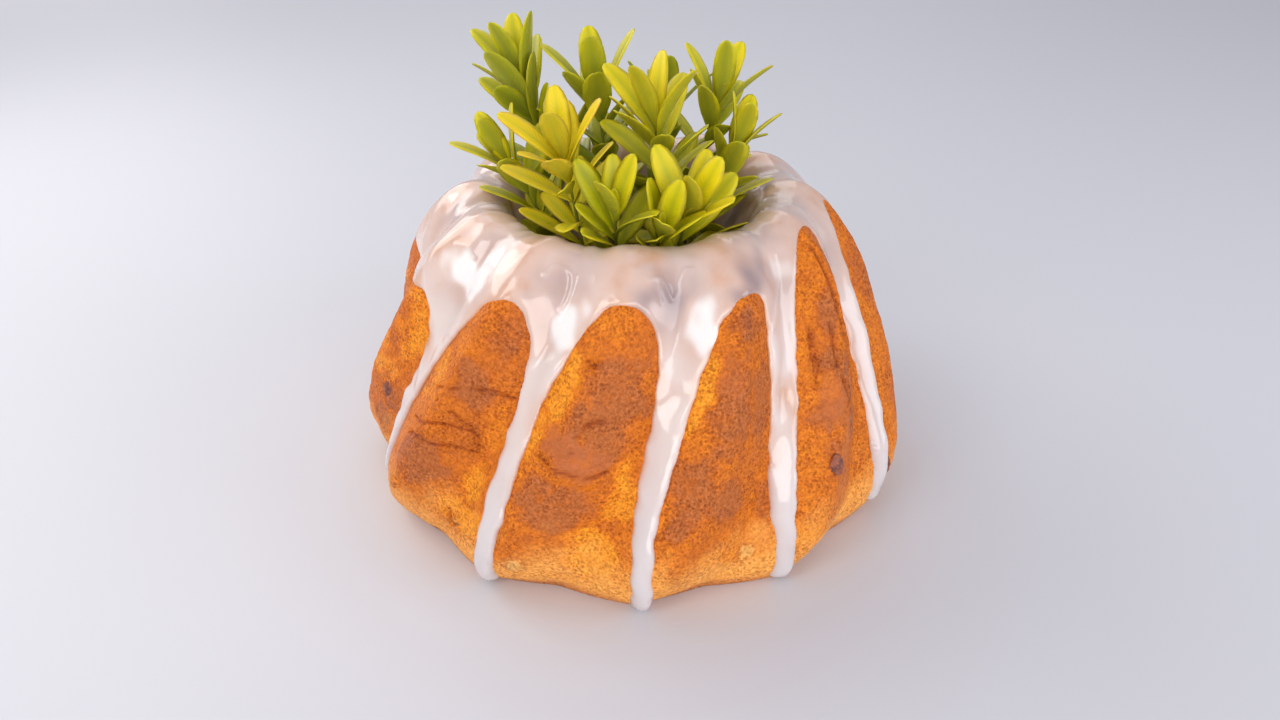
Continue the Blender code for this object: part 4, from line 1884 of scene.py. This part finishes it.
@dataclass
class Sprigs:
    """The bunch of box sprigs: stems in the hole, leaves in opposite pairs out over the funnel."""

    leaf_finish: LeafFinish = LeafFinish()
    stem_finish: StemFinish = StemFinish()
    way_half_width: float = 9.5 * MM
    way_bottom: float = -5 * MM
    way_top: float = 114 * MM
    stem_radius: float = 0.9 * MM
    stem_taper: float = 0.45
    stem_steps: int = 6
    stem_sides: int = 8
    foot_ring: float = 15 * MM
    neck_ring: float = 19 * MM
    neck_height: float = 84 * MM
    neck_towards_tip: float = 0.35
    leafy_length: float = 46 * MM
    top_pair_below_tip: float = 0.02
    pair_crowding: float = 1.5
    top_opening: float = 14
    more_opening: float = 48
    opening_haste: float = 0.7
    smaller: float = 0.15
    slenderness: float = 0.40
    thickness: float = 1.0 * MM
    fold: float = 0.16
    bend: float = 0.10
    widest: float = 1.25
    bluntness: float = 0.6
    stations: tuple[float, ...] = (0.18, 0.55, 0.90)
    clearance: float = 0.4 * MM
    shortenings: tuple[float, ...] = (1.0, 0.86, 0.72)
    swings: tuple[int, ...] = (0, 10, -10, 20, -20, 30, -30, 42, -42)
    lifts: tuple[int, ...] = (0, -9, 9, -18, 18)
    fine_steps: int = 100
    curve_steps: int = 16
    blade_rows: int = 11
    blade_columns: int = 5
    blade_thickness: float = 0.020
    stalk: float = 0.014
    rib_height: float = 0.010
    keel_height: float = 0.012
    blade_bends: Pairs = ((-0.10, 0.0), (-0.16, 0.12), (-0.05, -0.14), (-0.12, 0.2))
    bud_lengths: Pair = (0.42, 0.30)
    bud_depth: float = 0.6 * MM
    bud_opening: float = 0.16
    lower_tone: float = 0.22
    tone_play: float = 0.1
    between_size: float = 0.82
    fullness: tuple[float, float, float] = (0.95, 1.12, 1.05)
    seed: int = 17
    plans: tuple[SprigPlan, ...] = (
        SprigPlan("back_left", -112, (-40, 18, 142), 7, 29, 20, 0.72, 0.48),
        SprigPlan("left", -84, (-44, -5, 120), 6, 25, 60, 0.8, 0.58),
        SprigPlan("front_left", -45, (-23, -27, 130), 7, 27, 40, 1.1, 0.92),
        SprigPlan("front", -18, (-6, -37, 113), 5, 27, 0, 1.0, 0.52),
        SprigPlan("rim", 10, (9, -41, 108), 4, 27, 20, 0.9, 0.58),
        SprigPlan("back", -165, (-13, 20, 136), 7, 30, 50, 1.0, 0.46),
        SprigPlan("middle", 62, (8, -10, 135), 7, 29, 10, 1.0, 0.66),
        SprigPlan("back_right", 128, (32, 20, 135), 6, 27, 20, 1.0, 0.58),
        SprigPlan("right", 92, (36, 4, 120), 6, 26, 40, 0.85, 0.66),
        SprigPlan("front_right", 36, (18, -36, 112), 6, 29, 0, 1.1, 0.68),
        SprigPlan("rear", 160, (12, 33, 126), 6, 27, 45, 1.0, 0.40),
        SprigPlan("rear_left", -138, (-26, 30, 114), 5, 26, 20, 1.0, 0.38),
    )

    def stem_line(self, plan: SprigPlan) -> np.ndarray:
        """A stem's middle line, from its foot up beside the hole's wall and out to the tip.

        Args:
            plan: The sprig.

        Returns:
            The line's points, at equal distances.
        """
        turn = math.radians(plan.bearing)
        out = Vector((math.sin(turn), -math.cos(turn), 0.0))
        tip = Vector(plan.tip) * MM
        foot = out * self.foot_ring
        neck = (out * self.neck_ring).lerp(Vector((tip.x, tip.y, 0.0)), self.neck_towards_tip)
        neck.z = self.neck_height
        rough = curve_through([foot, foot.lerp(neck, 0.5), neck, tip], self.curve_steps)
        return self.evenly(self.evenly(rough, self.stem_steps), self.fine_steps)

    def evenly(self, line: np.ndarray, steps: int) -> np.ndarray:
        """The same line through points at equal distances.

        Args:
            line: The line's points.
            steps: Into how many parts it is cut.

        Returns:
            The new points.
        """
        lengths = np.append(0.0, np.cumsum(np.linalg.norm(np.diff(line, axis=0), axis=1)))
        wanted = np.linspace(0, lengths[-1], steps + 1)
        return np.stack([np.interp(wanted, lengths, line[:, axis]) for axis in range(3)], axis=1)

    def leaf_places(self, plan: SprigPlan, line: np.ndarray, between: bool) -> list[Leaf]:
        """A sprig's leaves as they would grow in the open, from the tip down.

        Args:
            plan: The sprig.
            line: Its stem's middle line.
            between: Whether to give the smaller pairs that grow between the main ones.

        Returns:
            The leaves, before they are kept clear of anything.
        """
        fine = [Vector(point) for point in line.tolist()]
        step = (fine[1] - fine[0]).length
        leaves = []
        for pair in np.arange(plan.pairs - between) + 0.5 * between:
            age = pair / (plan.pairs - 1)
            below = self.leafy_length * (self.top_pair_below_tip + age**self.pair_crowding)
            i = self.fine_steps - round(below / step)
            along = (fine[i] - fine[i - 1]).normalized()
            quarter = Matrix.Rotation(math.radians(plan.turn + 90 * float(pair)), 3, along)
            side = (quarter @ along.orthogonal()).normalized()
            opened = self.top_opening + self.more_opening * age**self.opening_haste
            opening = math.radians(plan.spread * opened)
            smaller = self.smaller if pair == 0 else self.smaller * age
            size = plan.leaf * MM * (1.0 - smaller)
            size *= self.between_size if between else 1.0
            for out in (side, -side):
                way = along * math.cos(opening) + out * math.sin(opening)
                face = along * math.sin(opening) - out * math.cos(opening)
                leaves.append(Leaf(fine[i], way, face, size, age))
        return leaves

    def outline(self, leaf: Leaf, grow: float = 0.0) -> BVHTree:
        """A leaf's plain outer form, as its CAD solid has it.

        Args:
            leaf: The leaf.
            grow: How far the form is swollen.

        Returns:
            Its faces, to test against other forms.
        """
        across = leaf.face.cross(leaf.way).normalized()
        upper = leaf.way.cross(across).normalized()
        width = leaf.length * self.slenderness
        corners = [leaf.base - leaf.way * grow]
        for t in self.stations:
            half = width / 2 * math.sin(math.pi * t**self.widest) ** self.bluntness + grow
            thick = upper * (self.thickness / 2 + grow)
            middle = leaf.base + leaf.way * (t * leaf.length) - upper * (self.bend * leaf.length * t**2)
            lifted = middle + upper * (self.fold * half)
            corners += [lifted + across * half, middle + thick, lifted - across * half, middle - thick]
        corners.append(leaf.base + leaf.way * (leaf.length + grow) - upper * (self.bend * leaf.length))
        last = 4 * len(self.stations) + 1
        faces = []
        for side in range(4):
            after = (side + 1) % 4
            faces.append((0, 1 + side, 1 + after))
            for row in range(1, last - 4, 4):
                faces.append((row + side, row + 4 + side, row + 4 + after, row + after))
            faces.append((last - 4 + side, last, last - 4 + after))
        return BVHTree.FromPolygons(corners, faces)

    def clear_leaf(self, leaf: Leaf, obstacles: list[BVHTree]) -> Leaf | None:
        """Turns a leaf aside or makes it shorter until it touches nothing.

        Args:
            leaf: The leaf.
            obstacles: What it keeps clear of.

        Returns:
            The leaf as it fits, or None.
        """
        across = leaf.face.cross(leaf.way).normalized()
        for shorter in self.shortenings:
            for swing in self.swings:
                aside = Matrix.Rotation(math.radians(swing), 3, leaf.face) @ leaf.way
                for lift in self.lifts:
                    rise = Matrix.Rotation(math.radians(lift), 3, across)
                    length = leaf.length * shorter
                    tried = Leaf(leaf.base, rise @ aside, rise @ leaf.face, length, leaf.age)
                    tree = self.outline(tried, self.clearance)
                    if not any(tree.overlap(other) for other in obstacles):
                        return tried
        return None

    def way_tree(self) -> BVHTree:
        """The free way down the middle of the hole.

        Returns:
            A box to test leaves against.
        """
        low = Vector((-self.way_half_width, -self.way_half_width, self.way_bottom))
        high = Vector((self.way_half_width, self.way_half_width, self.way_top))
        mesh = bmesh.new()
        bmesh.ops.create_cube(mesh, size=1.0)
        mesh.transform(Matrix.Translation((low + high) / 2) @ Matrix.Diagonal((*(high - low), 1.0)))
        tree = BVHTree.FromBMesh(mesh)
        mesh.free()
        return tree

    def blade(self, number: int, bend: float, twist: float) -> Object:
        """One leaf of unit length, growing along +Y with its upper side up.

        Args:
            number: Which of the leaf's forms it is.
            bend: How far its tip rises.
            twist: How far its tip turns about the midrib.

        Returns:
            The leaf, closed, with its along, across and below values stored.
        """
        t = (1 - np.cos(np.linspace(0.0, math.pi, self.blade_rows)[:, None])) / 2
        u = np.linspace(-1.0, 1.0, self.blade_columns)[None, :]
        u = np.sign(u) * np.abs(u) ** 0.8
        tapering = 0.55 + 0.45 * ease(0.0, 0.45, t)
        half = np.sqrt(1 - np.abs(2 * t**1.32 - 1) ** 2.2) * tapering
        half = np.maximum(self.slenderness / 2 * half, self.stalk * (1 - t)) * np.minimum(t / 0.01, 1.0)
        ends = np.minimum(half / 0.03, 1.0)
        edge = np.sqrt(np.maximum(1 - u**2, 0.0))
        crease = self.rib_height * np.exp(-((u / 0.16) ** 2)) * (1 - t) * ends
        lift = half * (0.24 * np.abs(u) - 0.12 * u**4) - crease
        spine = bend * t**2 + 0.02 * np.sin(math.pi * t)
        points = []
        for below, side in ((0.0, 1.0), (1.0, -1.0)):
            swelling = (0.35 + 0.65 * edge) * np.minimum(edge * 3, 1.0) * ends
            thick = side * self.blade_thickness / 2 * swelling
            keel = self.keel_height * np.exp(-((u / 0.12) ** 2)) * (1 - 0.7 * t) * below * ends
            x, z = u * half, lift + thick - keel
            turned = twist * t
            level = x * np.cos(turned) - z * np.sin(turned)
            height = x * np.sin(turned) + z * np.cos(turned) + spine
            points.append(np.stack([level, t + 0 * x, height], axis=-1).reshape(-1, 3))
        grid = np.arange(u.size * t.size).reshape(t.size, u.size)
        quads = np.stack([grid[:-1, :-1], grid[:-1, 1:], grid[1:, 1:], grid[1:, :-1]], axis=-1)
        quads = quads.reshape(-1, 4)
        faces = np.stack([quads, quads[:, ::-1] + grid.size], axis=1).reshape(-1, 4).tolist()
        values = {
            "along": np.tile((t + 0 * u).ravel(), 2),
            "across": np.tile((u + 0 * t).ravel(), 2),
            "below": np.repeat((0.0, 1.0), grid.size),
        }
        mesh = new_mesh(f"blade_{number}", np.vstack(points), faces=faces, values=values)
        rough = bmesh.new()
        rough.from_mesh(mesh)
        bmesh.ops.remove_doubles(rough, verts=rough.verts, dist=1e-5)
        bmesh.ops.recalc_face_normals(rough, faces=rough.faces)
        rough.to_mesh(mesh)
        rough.free()
        return bpy.data.objects.new(mesh.name, mesh)

    def tree(self, blades: Collection) -> ShapeGraph:
        """The node tree that grows one sprig: a tapered stem, and a leaf on every point.

        Args:
            blades: The leaf's forms.

        Returns:
            The tree, which takes the sprig's points and line as inputs.
        """
        g = ShapeGraph("box_sprig")
        points = g.shape_of("Leaf Points")
        inputs = {0: g.given("Leaf Forms", blades), 1: True, 2: True}
        forms = g.wire("GeometryNodeCollectionInfo", {}, inputs)
        turn = g.wire("FunctionNodeEulerToRotation", {}, {0: g.stored("turn", vector=True)})
        inputs = {0: points, 2: forms, 3: True, 4: g.stored("form"), 5: turn,
                  6: g.stored("size", vector=True)}
        leaves = g.wire("GeometryNodeInstanceOnPoints", {}, inputs)
        curve = g.wire("GeometryNodeMeshToCurve", {}, {0: g.shape_of("Stem Line")})
        height = g.stored("height")
        curve = g.store(curve, stem=height)
        taper = g.given("Stem Taper", self.stem_taper)
        radius = g.given("Stem Radius", self.stem_radius) * (1.0 - taper * height)
        sides = {"Resolution": self.stem_sides, "Radius": 1.0}
        ring = g.wire("GeometryNodeCurvePrimitiveCircle", {}, sides)
        tube = g.wire("GeometryNodeCurveToMesh", {}, {0: curve, 1: ring, "Scale": radius, "Fill Caps": True})
        both = g.node("GeometryNodeJoinGeometry", {}, {0: tube})
        g.tree.links.new(leaves.socket, both.inputs[0])
        finishes = (
            ("Leaf Material", self.leaf_finish.material(), True),
            ("Stem Material", self.stem_finish.material(), g.stored("stem")),
        )
        g.end(Wire(g, both.outputs[0]), finishes)
        return g

    def build(self, glaze: Object) -> list[tuple[SprigPlan, Object]]:
        """Grows every sprig clear of the cake, the glaze and its neighbours.

        Args:
            glaze: The glaze, which leaves keep off.

        Returns:
            Each plan with its sprig.
        """
        blades = bpy.data.collections.new("leaf_forms")
        for number, (bend, twist) in enumerate(self.blade_bends, start=1):
            blades.objects.link(self.blade(number, bend, twist))
        nodes = {name: mesh_tree(obj.data) for name, obj in frame["nodes"].items()}
        fixed = [self.way_tree(), mesh_tree(glaze.data)]
        draw = np.random.default_rng(self.seed)
        tree = self.tree(blades)
        sprigs = []
        for plan in self.plans:
            helpers = Helpers()
            line = self.stem_line(plan)
            others = fixed + [node for name, node in nodes.items() if name != plan.node]
            first = (self.clear_leaf(leaf, others) for leaf in self.leaf_places(plan, line, between=False))
            leaves = [leaf for leaf in first if leaf]
            others += [self.outline(leaf) for leaf in leaves]
            for leaf in self.leaf_places(plan, line, between=True):
                added = self.clear_leaf(leaf, others)
                if added:
                    leaves.append(added)
                    others.append(self.outline(added))
                    fixed.append(others[-1])
            leaves += self.buds(plan, line)
            line[:, 2] = np.maximum(line[:, 2], 2 * self.stem_radius)
            spans = [(i, i + 1) for i in range(len(line) - 1)]
            heights = {"height": np.linspace(0, 1, len(line))}
            inputs = {
                "Leaf Points": self.leaf_points(plan, leaves, draw, helpers),
                "Stem Line": helpers.add("stem", line, edges=spans, values=heights),
            }
            sprigs.append((plan, tree.piece(f"box_sprig_{plan.name}", inputs)))
            helpers.clear()
        for blade in list(blades.objects):
            bpy.data.objects.remove(blade)
        bpy.data.collections.remove(blades)
        return sprigs

    def buds(self, plan: SprigPlan, line: np.ndarray) -> list[Leaf]:
        """Small young leaves, closed round the tip.

        Args:
            plan: The sprig.
            line: Its stem's middle line.

        Returns:
            The leaves.
        """
        tip, before = Vector(line[-1]), Vector(line[-4])
        along = (tip - before).normalized()
        side = Matrix.Rotation(math.radians(plan.turn + 45), 3, along) @ along.orthogonal().normalized()
        base, opening, buds = tip - along * self.bud_depth, self.bud_opening, []
        for length, out in zip(self.bud_lengths, (side, -side)):
            way = (along + out * opening).normalized()
            face = (along * opening - out).normalized()
            buds.append(Leaf(base, way, face, plan.leaf * MM * length, 0.0))
        return buds

    def leaf_points(self, plan: SprigPlan, leaves: list[Leaf], draw: np.random.Generator,
                    helpers: Helpers) -> Object:
        """The leaves' bases as points that carry each leaf's size, turn, form and tone.

        Args:
            plan: The sprig.
            leaves: Its leaves.
            draw: The draw that varies them.
            helpers: Where the points are kept.

        Returns:
            The points.
        """
        turns, tones = [], []
        for leaf in leaves:
            y = leaf.way.normalized()
            x = y.cross(leaf.face).normalized()
            turns.append(tuple(Matrix((x, y, x.cross(y))).transposed().to_euler()))
            play = draw.uniform(-self.tone_play, self.tone_play)
            tones.append(plan.tone - self.lower_tone * leaf.age + play)
        values = {
            "turn": np.array(turns),
            "size": np.array([leaf.length for leaf in leaves])[:, None] * self.fullness,
            "form": draw.integers(len(self.blade_bends), size=len(leaves)),
            "tone": np.array(tones),
            "stem": np.zeros(len(leaves)),
        }
        return helpers.add("leaf_points", np.array([tuple(leaf.base) for leaf in leaves]), values=values)


@dataclass(frozen=True)
class Lamp:
    """A soft light: where it hangs, its width and height, its watts and its colour."""

    place: tuple[float, float, float]
    size: Pair
    power: float
    colour: Colour


@dataclass
class Studio:
    """Floor, lights and camera."""

    lens: float = 25.99
    sensor: float = 36.0
    place: tuple[float, float, float] = (0.0, -0.325, 0.2378)
    turn: tuple[float, float, float] = (57.9, 0.0, -0.45)
    floor_size: float = 8.0
    floor_colour: Colour = linear(210, 211, 215)
    sky: Colour = linear(222, 222, 234)
    sky_strength: float = 0.62
    lit_place: tuple[float, float, float] = (0.0, 0.0, 0.08)
    lamps: tuple[tuple[str, Lamp], ...] = (
        ("left_window", Lamp((-0.62, 0.22, 0.50), (0.42, 0.42), 1.8, (1.0, 0.97, 0.94))),
        ("near_window", Lamp((-0.50, -0.52, 0.58), (0.28, 0.40), 1.35, (1.0, 0.97, 0.94))),
        ("front", Lamp((0.10, -1.10, 0.32), (1.1, 0.5), 5.6, (1.0, 0.98, 0.97))),
        ("right", Lamp((0.9, -0.30, 0.36), (0.6, 0.6), 2.7, (0.90, 0.93, 1.0))),
        ("back", Lamp((-0.4, 1.6, 1.3), (2.4, 1.2), 9.0, (1.0, 0.98, 0.97))),
        ("top", Lamp((0.0, -0.1, 1.3), (1.0, 1.0), 1.0, (1.0, 0.99, 0.98))),
        ("far_left", Lamp((-1.9, 2.2, 1.2), (1.6, 1.6), 12.0, (1.0, 0.98, 1.0))),
    )

    def camera(self) -> None:
        """The camera, looking down at the cake from the front."""
        data = bpy.data.cameras.new("camera")
        data.lens = self.lens
        data.sensor_width = self.sensor
        data.clip_start = 0.01
        obj = new_object("camera", data)
        obj.location = self.place
        obj.rotation_euler = [math.radians(angle) for angle in self.turn]
        bpy.context.scene.camera = obj

    def light(self, name: str, lamp: Lamp) -> None:
        """Adds a soft rectangular light that faces the cake.

        Args:
            name: Its name.
            lamp: The light.
        """
        data = bpy.data.lights.new(name, "AREA")
        data.shape = "RECTANGLE"
        data.size, data.size_y = lamp.size
        data.energy = lamp.power
        data.color = lamp.colour
        obj = new_object(name, data)
        obj.location = lamp.place
        way = Vector(self.lit_place) - Vector(lamp.place)
        obj.rotation_euler = way.to_track_quat("-Z", "Y").to_euler()

    def build(self) -> None:
        """Makes the camera, the floor, the lights and the sky."""
        self.camera()
        half = self.floor_size / 2
        corners = np.array([(-half, -half, 0), (half, -half, 0), (half, half, 0), (-half, half, 0)])
        floor = new_object("floor", new_mesh("floor", corners, faces=[(0, 1, 2, 3)]))
        g = ShaderGraph("floor")
        floor.data.materials.append(g.finish(Base_Color=self.floor_colour, Roughness=0.55))
        for name, lamp in self.lamps:
            self.light(name, lamp)
        world = bpy.data.worlds.new("sky")
        world.use_nodes = True
        background = world.node_tree.nodes["Background"]
        background.inputs[0].default_value = (*self.sky, 1.0)
        background.inputs[1].default_value = self.sky_strength
        bpy.context.scene.world = world
        bpy.context.scene.view_settings.view_transform = "Standard"


def place_piece(piece: Object, slot: Slot, *nodes: str) -> None:
    """Hands a finished piece to the frame.

    Args:
        piece: The piece.
        slot: The record's material slot; not used.
        nodes: The CAD nodes that it stands for.
    """
    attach(piece, "root")
    if nodes:
        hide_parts(*nodes)
    triangles = sum(len(face.vertices) - 2 for face in piece.data.polygons)
    LOG.info("%s: %d triangles", piece.name, triangles)


def main() -> None:
    """Builds the cake piece by piece and reports each."""
    logging.basicConfig(level=logging.INFO, format="%(name)s %(message)s")
    form = CakeForm()
    Studio().build()
    crust_marks = CrustMarks(form)
    crust = Crust(form, crust_marks, Browning(form)).build()
    place_piece(crust, Slot.CRUST, "cake")
    place_piece(Raisins(crust_marks).build(crust), Slot.CRUST)
    glaze = Glaze(form).build(crust)
    place_piece(glaze, Slot.GLAZE)
    for plan, sprig in Sprigs().build(glaze):
        place_piece(sprig, Slot.LEAF, plan.node)


if __name__ == "__main__":
    main()
